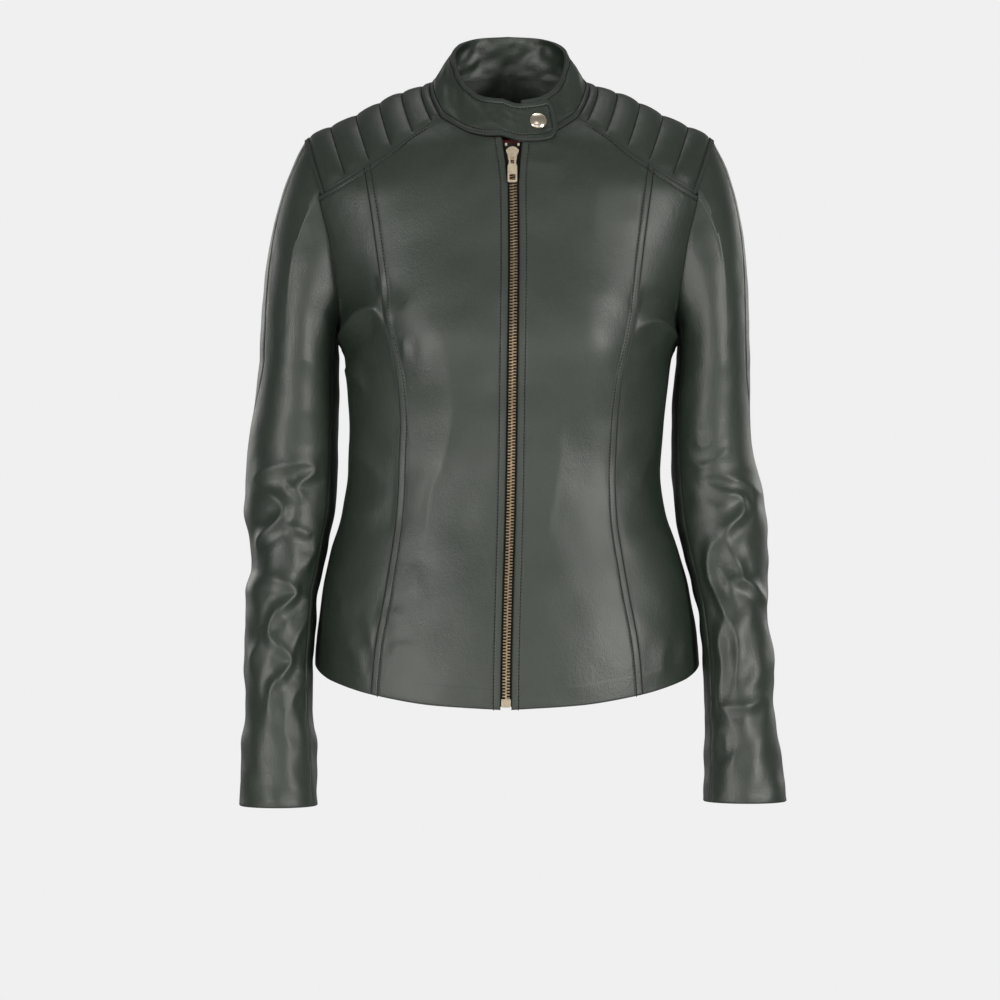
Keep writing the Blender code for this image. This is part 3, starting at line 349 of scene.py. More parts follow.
SLEEVE_CREASES = {
    Side.RIGHT: table_of(
        Crease,
        (1.8, 7, ((33, -359), (53, -351), (81, -346), (112, -344), (129, -346))),
        (2.4, 5, ((126, -347), (119, -354), (104, -361), (99, -367), (104, -374), (106, -382))),
        (3.0, 5, (
            (42, -364), (70, -373), (82, -379), (86, -387), (80, -395),
            (67, -402), (52, -409), (39, -418), (45, -430),
        )),
        (1.3, 3, ((84, -357), (95, -371))),
        (1.6, 4, ((85, -399), (104, -404), (126, -411))),
        (1.5, 6, ((128, -411), (135, -423), (128, -432), (124, -443))),
        (2.6, 5, (
            (43, -445), (86, -450), (106, -456), (115, -462), (103, -470),
            (86, -479), (77, -490), (76, -499), (85, -505),
        )),
        (2.6, 5, (
            (76, -497), (85, -505), (104, -515), (113, -524),
            (100, -535), (83, -546), (79, -555), (72, -571),
        )),
        (1.7, 5, ((117, -463), (139, -470), (145, -479), (132, -492), (121, -504), (114, -522))),
        (1.4, 5, ((105, -531), (137, -533), (147, -538), (125, -551), (113, -565))),
        (1.0, 6, ((104, -565), (102, -583), (114, -605))),
        (1.0, 6, ((64, -504), (44, -518), (39, -537))),
        (2.6, 8, ((232, -352), (262, -346), (300, -358))),
        (2.4, 6, ((300, -384), (262, -392), (238, -384), (222, -398))),
        (2.6, 7, ((240, -424), (268, -432), (296, -424))),
        (1.8, 7, ((300, -470), (268, -480), (240, -470))),
        (1.5, 8, ((256, -516), (292, -532))),
        (0.6, 15, ((50, -262), (96, -250), (140, -262))),
        (0.6, 15, ((60, -306), (104, -296), (136, -308))),
    ),
    Side.LEFT: table_of(
        Crease,
        (1.6, 6, ((130, -340), (106, -346), (82, -337), (66, -328))),
        (1.9, 6, ((124, -358), (93, -354), (70, -359), (38, -368), (6, -373))),
        (3.0, 5, (
            (118, -360), (86, -370), (65, -374), (62, -382),
            (68, -391), (83, -400), (91, -408), (94, -417),
        )),
        (2.4, 5, ((93, -412), (85, -427), (76, -439), (73, -449), (62, -453), (39, -463), (17, -474))),
        (2.6, 5, (
            (95, -410), (112, -420), (120, -432), (122, -444),
            (121, -453), (113, -468), (107, -481), (107, -489),
        )),
        (2.3, 6, (
            (107, -485), (119, -496), (123, -510), (121, -525), (123, -538),
            (128, -551), (126, -563), (113, -571), (102, -583),
        )),
        (1.3, 5, ((101, -452), (66, -448))),
        (1.6, 7, ((103, -480), (92, -498), (92, -513), (96, -529), (100, -551))),
        (1.8, 5, ((126, -564), (97, -564), (70, -562), (40, -551))),
        (1.0, 5, ((117, -587), (120, -607))),
        (0.9, 6, ((100, -590), (110, -621))),
        (1.3, 6, ((121, -323), (103, -328), (78, -315))),
        (2.6, 8, ((236, -348), (266, -356), (304, -346))),
        (2.4, 6, ((232, -392), (256, -380), (290, -388), (306, -402))),
        (2.4, 7, ((244, -440), (270, -430), (300, -438))),
        (1.8, 8, ((238, -486), (272, -476), (298, -484))),
        (1.3, 8, ((250, -536), (286, -524))),
        (0.6, 15, ((48, -268), (92, -254), (134, -264))),
    ),
}

# Creases of the body, by the angle round it from the front.
BODY_CREASES = {
    Side.RIGHT: table_of(
        Crease,
        (6.2, 9, ((100, -246), (84, -231), (72, -219), (63, -207), (56, -205), (50, -218))),
        (2.6, 7, ((94, -262), (81, -258), (70, -266), (65, -279))),
        (0.9, 5, ((46, -232), (45, -242), (46, -252))),
        (1.0, 6, ((58, -478), (54, -498), (53, -514))),
        (0.8, 6, ((64, -502), (60, -517), (60, -532))),
        (0.7, 5, ((60, -509), (57, -521), (57, -537))),
        (0.7, 5, ((47, -515), (43, -510), (38, -511))),
        (0.7, 4, ((51, -480), (47, -479), (43, -483))),
        (0.6, 6, ((41, -436), (39, -449), (40, -462))),
        (1.3, 9, ((86, -326), (74, -334), (66, -343), (58, -360))),
        (1.0, 11, ((86, -398), (72, -389), (58, -393))),
        (0.7, 13, ((50, -60), (38, -85), (30, -118))),
        (1.9, 17, ((30, -222), (27, -288), (31, -334), (37, -377), (37, -434))),
        (0.9, 10, ((75, -443), (68, -468), (66, -490))),
        (0.8, 9, ((72, -112), (70, -150), (76, -198))),
        (1.6, 12, ((170, -322), (146, -314), (122, -326), (104, -318))),
        (1.3, 11, ((164, -360), (142, -372), (118, -360))),
        (1.2, 12, ((112, -180), (128, -212), (150, -232))),
        (1.0, 13, ((154, -420), (158, -470), (155, -516))),
        (0.9, 12, ((128, -430), (134, -470), (130, -510))),
    ),
    Side.LEFT: table_of(
        Crease,
        (5.6, 9, ((100, -244), (86, -232), (72, -222), (62, -215), (52, -223))),
        (1.5, 8, ((92, -252), (74, -243), (62, -240), (54, -249))),
        (1.0, 10, ((82, -328), (72, -338), (66, -352), (63, -372))),
        (0.9, 10, ((82, -420), (69, -406), (57, -412))),
        (0.9, 6, ((64, -502), (61, -517), (60, -537))),
        (0.8, 6, ((77, -495), (71, -510), (70, -528))),
        (0.6, 7, ((9, -68), (20, -74), (32, -72))),
        (0.8, 14, ((24, -292), (24, -350), (18, -412))),
        (0.7, 12, ((50, -68), (41, -107), (39, -148))),
        (1.5, 12, ((168, -330), (148, -322), (124, -316), (106, -328))),
        (1.2, 11, ((160, -374), (136, -362), (116, -374))),
        (1.2, 12, ((110, -186), (124, -208), (148, -222))),
        (0.9, 13, ((150, -440), (148, -486), (152, -522))),
    ),
}
BODY_RADIUS = 150.0


def smooth(x: Array, known_x: Sequence[float], known_y: Sequence[float]) -> Array:
    """A curve through the known points that never overshoots them.

    Args:
        x: where it is read.
        known_x: rising places of the known points.
        known_y: their heights.

    Returns:
        The curve's height at each x.
    """
    known_x = np.asarray(known_x, float)
    known_y = np.asarray(known_y, float)
    x = np.clip(np.asarray(x, float), known_x[0], known_x[-1])
    step = np.diff(known_x)
    slope = np.diff(known_y) / step
    tangent = np.concatenate([slope[:1], np.zeros(len(slope) - 1), slope[-1:]])
    before, after = slope[:-1], slope[1:]
    total = np.where(np.abs(before + after) < 1e-12, 1.0, before + after)
    tangent[1:-1] = np.where(before * after > 0, 2 * before * after / total, 0.0)
    cell = np.clip(np.searchsorted(known_x, x, side="right") - 1, 0, len(step) - 1)
    t = (x - known_x[cell]) / step[cell]
    start = (t**3 - 2 * t**2 + t) * tangent[cell] + (t**3 - t**2) * tangent[cell + 1]
    low, high = known_y[cell], known_y[cell + 1]
    return (2 * t**3 - 3 * t**2 + 1) * low + (3 * t**2 - 2 * t**3) * high + start * step[cell]


def read(table: Sequence[NamedTuple], field: str, key: str, at: Array) -> Array:
    """One column of a table, at the given values of another column."""
    rows = sorted(table, key=lambda row: getattr(row, key))
    return smooth(at, [getattr(row, key) for row in rows], [getattr(row, field) for row in rows])


def unit(vectors: Array) -> Array:
    """The same directions with a length of 1."""
    return vectors / np.maximum(np.linalg.norm(vectors, axis=-1, keepdims=True), 1e-9)


def ease(x: Array) -> Array:
    """A soft step from 0 to 1, as x goes from 0 to 1."""
    x = np.clip(x, 0, 1)
    return x * x * (3 - 2 * x)


def denser(stops: Sequence[float], parts: int = 16) -> Array:
    """Stops with each step between them cut into equal parts."""
    index = np.arange((len(stops) - 1) * parts + 1) / parts
    return np.interp(index, np.arange(len(stops)), np.asarray(stops, float))


def even_steps(start: float, *parts: tuple[float, int]) -> Array:
    """Values from the start in even steps, to the end that each part names."""
    values = np.array([float(start)])
    for end, steps in parts:
        values = np.concatenate([values, np.linspace(values[-1], end, steps + 1)[1:]])
    return values


def graded(
    length: float,
    fine_at: Sequence[float],
    fine: float = 0.6,
    coarse: float = 3.2,
    keep: Sequence[float] = (),
) -> Array:
    """Shares of a length whose steps are small near the given places.

    Args:
        length: the whole length.
        fine_at: where the steps are small, measured from the start.
        fine: the smallest step.
        coarse: the largest one.
        keep: shares that one of the steps ends on.

    Returns:
        Rising shares from 0 to 1.
    """
    x = np.linspace(0, length, 3000)
    away = np.min([np.abs(x - place) for place in fine_at], axis=0)
    size = fine + (coarse - fine) * ease((away - 1.4) / 9)
    count = np.concatenate([[0], np.cumsum(np.diff(x) / size[1:])])
    shares = np.interp(np.linspace(0, count[-1], math.ceil(count[-1]) + 1), count, x) / length
    for share in keep:
        shares[np.argmin(np.abs(shares - share))] = share
    return shares


def sample(edge: Array, shares: Array) -> Array:
    """Places of an edge at shares of its steps."""
    at = np.asarray(shares) * (len(edge) - 1)
    return np.stack([np.interp(at, np.arange(len(edge)), column) for column in edge.T], axis=-1)


def fill(bottom: Array, right: Array, top: Array, left: Array, across: Array, up: Array) -> Array:
    """A grid of places between four edges, at shares across and up."""
    low, high = sample(bottom, across)[None], sample(top, across)[None]
    near, far = sample(left, up)[:, None], sample(right, up)[:, None]
    u, v = across[None, :, None], up[:, None, None]
    corners = (1 - v) * ((1 - u) * bottom[0] + u * bottom[-1]) + v * ((1 - u) * top[0] + u * top[-1])
    return (1 - v) * low + v * high + (1 - u) * near + u * far - corners


def rounded_path(path: Sequence[tuple[float, float]], parts: int = 8) -> Array:
    """A soft curve through the points of a crease."""
    points = np.asarray(path, float)
    index = np.arange(len(points))
    at = np.linspace(0, len(points) - 1, (len(points) - 1) * parts + 1)
    if len(points) < 3:
        return np.stack([np.interp(at, index, column) for column in points.T], axis=-1)
    padded = np.concatenate([2 * points[:1] - points[1:2], points, 2 * points[-1:] - points[-2:-1]])
    cell = np.minimum(at.astype(int), len(points) - 2)
    t = (at - cell)[:, None]
    a, b, c, d = (padded[cell + k] for k in range(4))
    return 0.5 * (2 * b + (c - a) * t + (2 * a - 5 * b + 4 * c - d) * t**2 + (3 * b - a - 3 * c + d) * t**3)


def crease_relief(
    creases: Sequence[Crease],
    across: Array,
    z: Array,
    turn: float = 1e9,
    scale: float = 1.0,
) -> Array:
    """How far creases lift the leather.

    Args:
        creases: the ridges, their paths as (across, z).
        across: each point's place across, in the paths' units times the scale.
        z: each point's height.
        turn: the length of a whole turn, for a tube.
        scale: what turns the paths' across into millimetres.

    Returns:
        The lift of each point, with a sharp crest and a hollow on each flank.
    """
    lift = np.zeros(across.shape)
    for crease in creases:
        path = rounded_path(crease.path) * (scale, 1)
        middle = path[len(path) // 2]
        x = across + turn * np.round((middle[0] - across) / turn)
        near = np.abs(z - middle[1]) < np.abs(path[:, 1] - middle[1]).max() + 6 * crease.width
        best = np.full(int(near.sum()), 1e9)
        share = np.zeros_like(best)
        for k, (start, end) in enumerate(zip(path, path[1:])):
            run = end - start
            dx, dz = x[near] - start[0], z[near] - start[1]
            along = np.clip((dx * run[0] + dz * run[1]) / (run @ run), 0, 1)
            away = np.hypot(dx - along * run[0], dz - along * run[1])
            closer = away < best
            best = np.where(closer, away, best)
            share = np.where(closer, (k + along) / (len(path) - 1), share)
        crest = np.exp(-(np.sqrt(best**2 + 1.6) - 1.26) / (0.62 * crease.width))
        hollow = 0.42 * np.exp(-(((best - 2.1 * crease.width) / (1.1 * crease.width)) ** 2))
        taper = 1 - np.abs(2 * share - 1) ** 3
        lift[near] += crease.height * (crest - hollow) * taper
    return lift


def unevenness(across: Array, z: Array) -> Array:
    """Slow waves that leather shows between its creases with wear, about 1 high."""
    waves = (
        (0.061, 0.083, 0.4),
        (-0.094, 0.052, 1.9),
        (0.037, -0.128, 3.1),
        (0.143, 0.071, 5.0),
        (-0.071, -0.155, 0.8),
    )
    return sum(np.sin(a * across + b * z + c) for a, b, c in waves) / 3


@dataclass(frozen=True)
class JacketForm:
    """The outer face of the jacket's body, and the seams that are drawn on it."""

    sections: tuple[BodySection, ...] = BODY
    bust: Swell = BUST

    def value(self, field: str, z: Array) -> Array:
        """One size of the body at a height."""
        return read(self.sections, field, "z", z)

    def point(self, angle: Array, z: Array) -> Array:
        """Points of the outer face. The angle in radians starts at the front."""
        angle, z = np.broadcast_arrays(np.asarray(angle, float), np.asarray(z, float))
        across, ahead = np.sin(angle), np.cos(angle)
        in_front = ahead > 0
        width = self.value("half_width", z)
        depth = np.where(in_front, self.value("front", z), self.value("back", z))
        square = np.where(in_front, self.value("front_square", z), self.value("back_square", z))
        reach = (np.abs(across / width) ** square + np.abs(ahead / depth) ** square) ** (-1 / square)
        x, y = reach * across, -reach * ahead
        sideways = (np.abs(x) - self.bust.x) / self.bust.width
        upwards = (z - self.bust.z) / self.bust.height
        swell = self.bust.lift * np.exp(-(sideways**2) - upwards**2)
        y = y - np.where(in_front, swell * np.clip(ahead, 0, 1) ** 0.5, 0)
        sway = self.value("sway", z)
        x = x + sway + (self.value("front_shift", z) - sway) * np.clip(ahead, 0, 1) ** 2
        return np.stack([x, y, z], axis=-1)

    def outwards(self, angle: Array, z: Array) -> Array:
        """The directions square to the outer face."""
        turn, rise = 1e-3, 0.2
        along = self.point(angle + turn, z) - self.point(angle - turn, z)
        up = self.point(angle, z + rise) - self.point(angle, z - rise)
        return unit(np.cross(along, up))

    def front_angle(self, x: Array, z: Array) -> Array:
        """The angle at which the front passes through x, before its shift."""
        square = self.value("front_square", z)
        share = np.clip(1 - (np.abs(x) / self.value("half_width", z)) ** square, 0, 1)
        return np.arctan2(x, self.value("front", z) * share ** (1 / square))

    def back_angle(self, x: Array, z: Array) -> Array:
        """The angle at which the back passes through x."""
        square = self.value("back_square", z)
        share = np.clip(1 - (np.abs(x) / self.value("half_width", z)) ** square, 0, 1)
        return math.pi - np.arctan2(x, self.value("back", z) * share ** (1 / square))

    def side_angle(self, y: Array, z: Array) -> Array:
        """The angle at which the side passes through y."""
        y = np.asarray(y, float)
        depth = np.where(y < 0, self.value("front", z), self.value("back", z))
        square = np.where(y < 0, self.value("front_square", z), self.value("back_square", z))
        share = np.clip(1 - (np.abs(y) / depth) ** square, 0, 1)
        return np.arctan2(self.value("half_width", z) * share ** (1 / square), -y)

    def hem(self, start: float, end: float) -> Array:
        """The hem between two angles, as angle and height."""
        angle = np.linspace(start, end, 200)
        return np.stack([angle, read(HEM, "z", "angle", np.degrees(angle))], axis=-1)

    def yoke_front(self, shares: Array) -> Array:
        """The front yoke seam, from the neck to the armhole."""
        x = YOKE_FRONT[0].x + np.asarray(shares) * (YOKE_FRONT[-1].x - YOKE_FRONT[0].x)
        z = read(YOKE_FRONT, "z", "x", x)
        return np.stack([self.front_angle(x, z), z], axis=-1)

    def yoke_back(self, shares: Array) -> Array:
        """The back yoke seam, from the neck to the armhole."""
        shares = np.asarray(shares, float)
        corner = float(self.side_angle(ARMHOLE_BACK_TOP.y, ARMHOLE_BACK_TOP.z))
        reach = float(self.point(corner, ARMHOLE_BACK_TOP.z)[0]) - YOKE_BACK_NECK.x
        z = YOKE_BACK_NECK.z + (ARMHOLE_BACK_TOP.z - YOKE_BACK_NECK.z) * shares
        angle = self.back_angle(YOKE_BACK_NECK.x + shares * reach, z)
        return np.stack([np.where(shares >= 1, corner, angle), z], axis=-1)

    def armhole(self, table: Sequence[ArmholePoint], stops: Array) -> Array:
        """The armhole's edge at some of its stops."""
        y, z = (read(table, field, "angle", stops) for field in ("y", "z"))
        return np.stack([self.side_angle(y, z), z], axis=-1)

    def neck(self, angles: Array, front: bool) -> Array:
        """The neck seam at angles round the neck."""
        table = NECK_FRONT if front else NECK_BACK
        x, z = (read(table, field, "angle", angles) for field in ("x", "z"))
        return np.stack([(self.front_angle if front else self.back_angle)(x, z), z], axis=-1)

    def upright(self, table: Sequence[SeamPoint], low: float, high: float) -> Array:
        """An upright seam of the front, its steps even below and above the armhole."""
        z = denser(even_steps(low, (ARMHOLE_FRONT[-1].z, 12), (high, 8)))
        return np.stack([self.front_angle(read(table, "x", "z", z), z), z], axis=-1)

    def side(self, table: Sequence[ArmholePoint], stops: Sequence[float]) -> Array:
        """The side seam from the hem up, and the armhole's edge above it."""
        z = denser(np.linspace(float(read(HEM, "z", "angle", 90)), ARMHOLE_BACK[0].z, 13))
        seam = np.stack([np.full_like(z, math.pi / 2), z], axis=-1)
        return np.concatenate([seam[:-1], self.armhole(table, denser(stops))])


FORM = JacketForm()


class EdgeFinish(NamedTuple):
    """How one edge of a piece is finished."""

    stitch: float = 0.0  # how far in its topstitch runs, or 0 for none
    roll: float = 0.9  # the radius of the turned edge
    fold: float = 0.0  # how far in a turned-up hem ends, or 0 for none
    start: float = 0.0  # the shares of the edge between which it is stitched
    end: float = 1.0


@dataclass
class LeatherPiece:
    """A piece of leather: a fine grid of outer points, its seams and its creases."""

    name: str
    points: Array
    outwards: Array
    finishes: dict[str, EdgeFinish]
    relief: Array | None = None
    thickness: float = WALL

    def reach(self, edge: str) -> Array:
        """How far each point lies from an edge, along its row or column."""
        axis = 1 if edge in ("left", "right") else 0
        steps = np.linalg.norm(np.diff(self.points, axis=axis), axis=-1)
        start = np.zeros_like(np.take(steps, [0], axis=axis))
        walked = np.concatenate([start, np.cumsum(steps, axis=axis)], axis=axis)
        if edge in ("left", "bottom"):
            return walked
        return np.take(walked, [-1], axis=axis) - walked

    def along(self, edge: str) -> Array:
        """Each point's share of the way along an edge."""
        rows, columns = self.points.shape[:2]
        if edge in ("left", "right"):
            return np.broadcast_to(np.linspace(0, 1, rows)[:, None], (rows, columns))
        return np.broadcast_to(np.linspace(0, 1, columns)[None], (rows, columns))

    def edge_length(self, edge: str) -> float:
        """The length of an edge."""
        lines = {"left": np.s_[:, 0], "right": np.s_[:, -1], "bottom": np.s_[0], "top": np.s_[-1]}
        line = self.points[lines[edge]]
        return float(np.linalg.norm(np.diff(line, axis=0), axis=-1).sum())

    def finish_edges(self) -> None:
        """Rolls the edges, presses in the topstitches and folds, and makes a mask of painted shade along the
        edges and topstitches.
        """
        lift = np.zeros(self.points.shape[:2]) if self.relief is None else self.relief.copy()
        quiet = np.ones_like(lift)
        for edge in self.finishes:
            quiet *= ease(self.reach(edge) / QUIET_BORDER)
        lift *= 0.15 + 0.85 * quiet
        self.inner = self.points + (lift - self.thickness)[..., None] * self.outwards
        # painted shade: dark is a mask that darkens the leather's colour in the rolled seam valleys and the
        # topstitch grooves, where shadow falls
        dark = np.zeros_like(lift)
        for edge, finish in self.finishes.items():
            away = self.reach(edge)
            roll = finish.roll
            depth = np.sqrt(np.maximum(roll**2 - np.maximum(roll - away, 0) ** 2, 0))
            lift += depth - roll
            dark = np.maximum(dark, np.exp(-((away / 1.6) ** 2)))
            if finish.fold:
                lift += TURNED_LIFT * (1 - ease((away - finish.fold) / 3.0 + 0.5))
            if finish.stitch:
                share = self.along(edge)
                inside = ease((share - finish.start) / 0.01 + 1) * ease((finish.end - share) / 0.01 + 1)
                walk = share * self.edge_length(edge)
                wander = np.sin(0.72 * walk) * np.sin(0.31 * walk + 1.3) + 0.5 * np.sin(1.13 * walk + 0.4)
                step = 1 - ease((away - finish.stitch) / 1.8 + 0.5)
                pull = np.exp(-(((away - finish.stitch) / 0.75) ** 2)) * (1 + 0.25 * wander)
                lift += inside * (STITCH_LIFT * step - STITCH_PULL * pull)
                pucker = np.exp(-(((away - finish.stitch - 2.5) / 3.0) ** 2))
                lift += inside * 0.13 * pucker * wander
                dark = np.maximum(dark, 0.85 * pull * inside)
        self.dark = dark
        self.points = self.points + lift[..., None] * self.outwards

    def path(self, edge: str, away: float, start: float = 0.0, end: float = 1.0) -> Array:
        """A line at an even distance from an edge, on the finished face.

        Args:
            edge: the edge's name.
            away: its distance from the edge.
            start: the share of the edge where the line starts.
            end: the share where it ends.

        Returns:
            Rows of a point and an outward direction.
        """
        reach = self.reach(edge)
        data = np.concatenate([self.points, self.face_directions()], axis=-1)
        if edge in ("bottom", "top"):
            reach, data = reach.T, data.transpose(1, 0, 2)
        if edge in ("right", "top"):
            reach, data = reach[:, ::-1], data[:, ::-1]
        count = len(data)
        rows = range(round(start * (count - 1)), round(end * (count - 1)) + 1)
        made = [[np.interp(away, reach[i], data[i, :, k]) for k in range(6)] for i in rows]
        return np.array(made)

    def face_directions(self) -> Array:
        """The finished face's own outward directions."""
        across = np.gradient(self.points, axis=1)
        up = np.gradient(self.points, axis=0)
        own = unit(np.cross(across, up))
        return own * np.sign((own * self.outwards).sum(-1, keepdims=True) + 1e-9)

    def build(
        self,
        leather: bpy.types.Material,
        lining: bpy.types.Material,
        facing: Sequence[tuple[str, float]] = (),
    ) -> bpy.types.Object:
        """Makes the closed shell: outer face, inner face and edges.

        Args:
            leather: the material of the outer face and the edges.
            lining: the material of the inner face.
            facing: edges by name, and how far in leather covers the inner face.

        Returns:
            The piece, riding on the jacket.
        """
        rows, columns = self.points.shape[:2]
        below = rows * columns
        i, j = np.meshgrid(np.arange(rows - 1), np.arange(columns - 1), indexing="ij")
        corner = (i * columns + j).reshape(-1)
        face = np.stack([corner, corner + 1, corner + columns + 1, corner + columns], axis=-1)
        row, column = np.arange(rows) * columns, np.arange(columns)
        rim = np.concatenate([column, row[1:] + columns - 1, row[-1] + column[-2::-1], row[-2:0:-1]])
        after = np.roll(rim, -1)
        edges = np.stack([after, rim, below + rim, below + after], axis=-1)
        faces = np.concatenate([face, below + face[:, ::-1], edges])
        middle = self.points[rows // 2, columns // 2]
        turned = np.cross(
            self.points[rows // 2, columns // 2 + 1] - middle,
            self.points[rows // 2 + 1, columns // 2] - middle,
        )
        if turned @ self.outwards[rows // 2, columns // 2] < 0:
            faces = faces[:, ::-1]
        points = np.concatenate([self.points.reshape(-1, 3), self.inner.reshape(-1, 3)]) * MM
        slots = np.zeros(len(faces), int)
        lined = np.ones((rows - 1, columns - 1), bool)
        for edge, width in facing:
            lined &= self.reach(edge)[:-1, :-1] > width
        slots[len(face) : 2 * len(face)] = lined.reshape(-1)
        made = shell_object(self.name, points, faces, (leather, lining), slots)
        # painted shade: the seam attribute carries the dark mask, which darkens the leather's colour along
        # edges and topstitch grooves
        dark = np.concatenate([self.dark.reshape(-1), np.zeros(below)])
        made.data.attributes.new("seam", "FLOAT", "POINT").data.foreach_set("value", dark)
        return made


def placed(name: str, data: bpy.types.ID) -> bpy.types.Object:
    """A new object in the scene, at the origin."""
    made = bpy.data.objects.new(name, data)
    bpy.context.scene.collection.objects.link(made)
    return made


def shell_object(
    name: str,
    points: Array,
    faces: Array,
    looks: Sequence[bpy.types.Material],
    slots: Array | None = None,
) -> bpy.types.Object:
    """A mesh object with smooth faces, riding on the jacket's body."""
    mesh = bpy.data.meshes.new(name)
    mesh.from_pydata(points.tolist(), [], faces.tolist())
    for look in looks:
        mesh.materials.append(look)
    if slots is not None:
        mesh.polygons.foreach_set("material_index", slots)
    mesh.shade_smooth()
    mesh.set_sharp_from_angle(angle=math.radians(62))
    made = placed(name, mesh)
    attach(made, "jacket")
    return made


def body_piece(
    name: str,
    side: Side,
    edges: tuple[Array, Array, Array, Array],
    finishes: dict[str, EdgeFinish],
    keep: Sequence[float] = (),
) -> LeatherPiece:
    """A fine panel of the body between its bottom, right, top and left edges."""
    length = {}
    for edge, line in zip(("bottom", "right", "top", "left"), edges):
        walk = FORM.point(line[:, 0], line[:, 1])
        length[edge] = float(np.linalg.norm(np.diff(walk, axis=0), axis=-1).sum())
    width, height = max(length["bottom"], length["top"]), max(length["left"], length["right"])
    fine = {
        edge: [0.0] + [x for x in (finish.stitch, finish.fold) if x] for edge, finish in finishes.items()
    }
    across = graded(width, fine["left"] + [width - x for x in fine["right"]], coarse=3.0, keep=keep)
    up = graded(height, fine["bottom"] + [height - x for x in fine["top"]], coarse=3.4)
    places = fill(*edges, across, up)
    angle = side.value * places[..., 0]
    points = FORM.point(angle, places[..., 1])
    outwards = FORM.outwards(angle, places[..., 1])
    across_mm = places[..., 0] * BODY_RADIUS
    scale = math.radians(1) * BODY_RADIUS
    relief = crease_relief(BODY_CREASES[side], across_mm, places[..., 1], scale=scale)
    relief += 0.35 * unevenness(across_mm + 37 * side.value, places[..., 1])
    piece = LeatherPiece(name, points, outwards, finishes, relief)
    piece.finish_edges()
    return piece


@dataclass(frozen=True)
class Dressed:
    """The materials that the cloth pieces share."""

    leather: bpy.types.Material
    lining: bpy.types.Material
    thread: bpy.types.Material
    tape: bpy.types.Material
    metal: bpy.types.Material
    # painted shade: a darker copy of the brass for the zip box
    worn_metal: bpy.types.Material
    cap: bpy.types.Material
    teeth: bpy.types.Material


@dataclass
class Stitching:
    """The lines that thread follows, gathered from all the pieces."""

    radius: float = 0.46
    length: float = 2.0
    pitch: float = STITCH_PITCH
    sunk: float = 0.12

    def __post_init__(self) -> None:
        """Starts with no lines."""
        self.lines: list[Array] = []

    def add(self, line: Array) -> None:
        """Adds a line, as rows of a point and an outward direction."""
        self.lines.append(line)

    def build(self, look: bpy.types.Material) -> bpy.types.Object:
        """Sews every line with separate stitches."""
        stitch = ball("stitch_form", 6, 5, (self.radius, 0.8 * self.radius, self.length / 2))
        made = repeat_along("stitching", self.lines, stitch, self.pitch, self.radius - self.sunk, look)
        log.info("stitching: %d faces", len(made.data.polygons))
        return made


def ball(name: str, sides: int, rings: int, radii: tuple[float, float, float]) -> bpy.types.Object:
    """A small ellipsoid to be repeated, in metres from millimetres."""
    turn = math.pi / 2 + np.linspace(0, math.tau, sides, endpoint=False)
    tilts = np.linspace(0, math.pi, rings + 1)[1:-1]
    belts = [(math.sin(tilt) * np.cos(turn), math.sin(tilt) * np.sin(turn), math.cos(tilt)) for tilt in tilts]
    around = [np.stack([x, y, np.full(sides, z)], axis=-1) for x, y, z in belts]
    points = np.concatenate([[(0, 0, 1)], *around, [(0, 0, -1)]]) * radii * MM
    last = len(points) - 1
    faces = []
    for a in range(sides):
        b = (a + 1) % sides
        faces.append((0, 1 + a, 1 + b))
        for belt in range(rings - 2):
            upper, lower = 1 + belt * sides, 1 + (belt + 1) * sides
            faces.append((upper + a, lower + a, lower + b, upper + b))
        faces.append((last, last - sides + b, last - sides + a))
    mesh = bpy.data.meshes.new(name)
    mesh.from_pydata(points.tolist(), [], faces)
    mesh.shade_smooth()
    return placed(name, mesh)


def repeat_tree() -> bpy.types.NodeTree:
    """The node group that sets a small piece at even steps along lines.

    Returns:
        A group whose inputs are the lines, the piece, the pitch and the material.
        The lines' points carry a direction named facing, that the piece's Y follows.
    """
    tree = bpy.data.node_groups.new("repeat_along_lines", "GeometryNodeTree")
    for name, kind in (
        ("Lines", "NodeSocketGeometry"),
        ("Piece", "NodeSocketObject"),
        ("Pitch", "NodeSocketFloat"),
        ("Material", "NodeSocketMaterial"),
    ):
        tree.interface.new_socket(name=name, in_out="INPUT", socket_type=kind)
    tree.interface.new_socket(name="Pieces", in_out="OUTPUT", socket_type="NodeSocketGeometry")
    add, link = tree.nodes.new, tree.links.new
    given, result = add("NodeGroupInput"), add("NodeGroupOutput")
    curve, steps = add("GeometryNodeMeshToCurve"), add("GeometryNodeCurveToPoints")
    steps.mode = "LENGTH"
    facing = add("GeometryNodeInputNamedAttribute")
    facing.data_type = "FLOAT_VECTOR"
    facing.inputs["Name"].default_value = "facing"
    align = "FunctionNodeAlignRotationToVector"
    lengthways, outwards = add(align), add(align)
    lengthways.axis, outwards.axis, outwards.pivot_axis = "Z", "Y", "Z"
    piece, put = add("GeometryNodeObjectInfo"), add("GeometryNodeInstanceOnPoints")
    real, painted = add("GeometryNodeRealizeInstances"), add("GeometryNodeSetMaterial")
    link(given.outputs["Lines"], curve.inputs["Mesh"])
    link(curve.outputs["Curve"], steps.inputs["Curve"])
    link(given.outputs["Pitch"], steps.inputs["Length"])
    link(steps.outputs["Tangent"], lengthways.inputs["Vector"])
    link(lengthways.outputs["Rotation"], outwards.inputs["Rotation"])
    link(facing.outputs["Attribute"], outwards.inputs["Vector"])
    link(given.outputs["Piece"], piece.inputs["Object"])
    link(steps.outputs["Points"], put.inputs["Points"])
    link(piece.outputs["Geometry"], put.inputs["Instance"])
    link(outwards.outputs["Rotation"], put.inputs["Rotation"])
    link(put.outputs["Instances"], real.inputs["Geometry"])
    link(real.outputs["Geometry"], painted.inputs["Geometry"])
    link(given.outputs["Material"], painted.inputs["Material"])
    link(painted.outputs["Geometry"], result.inputs["Pieces"])
    return tree


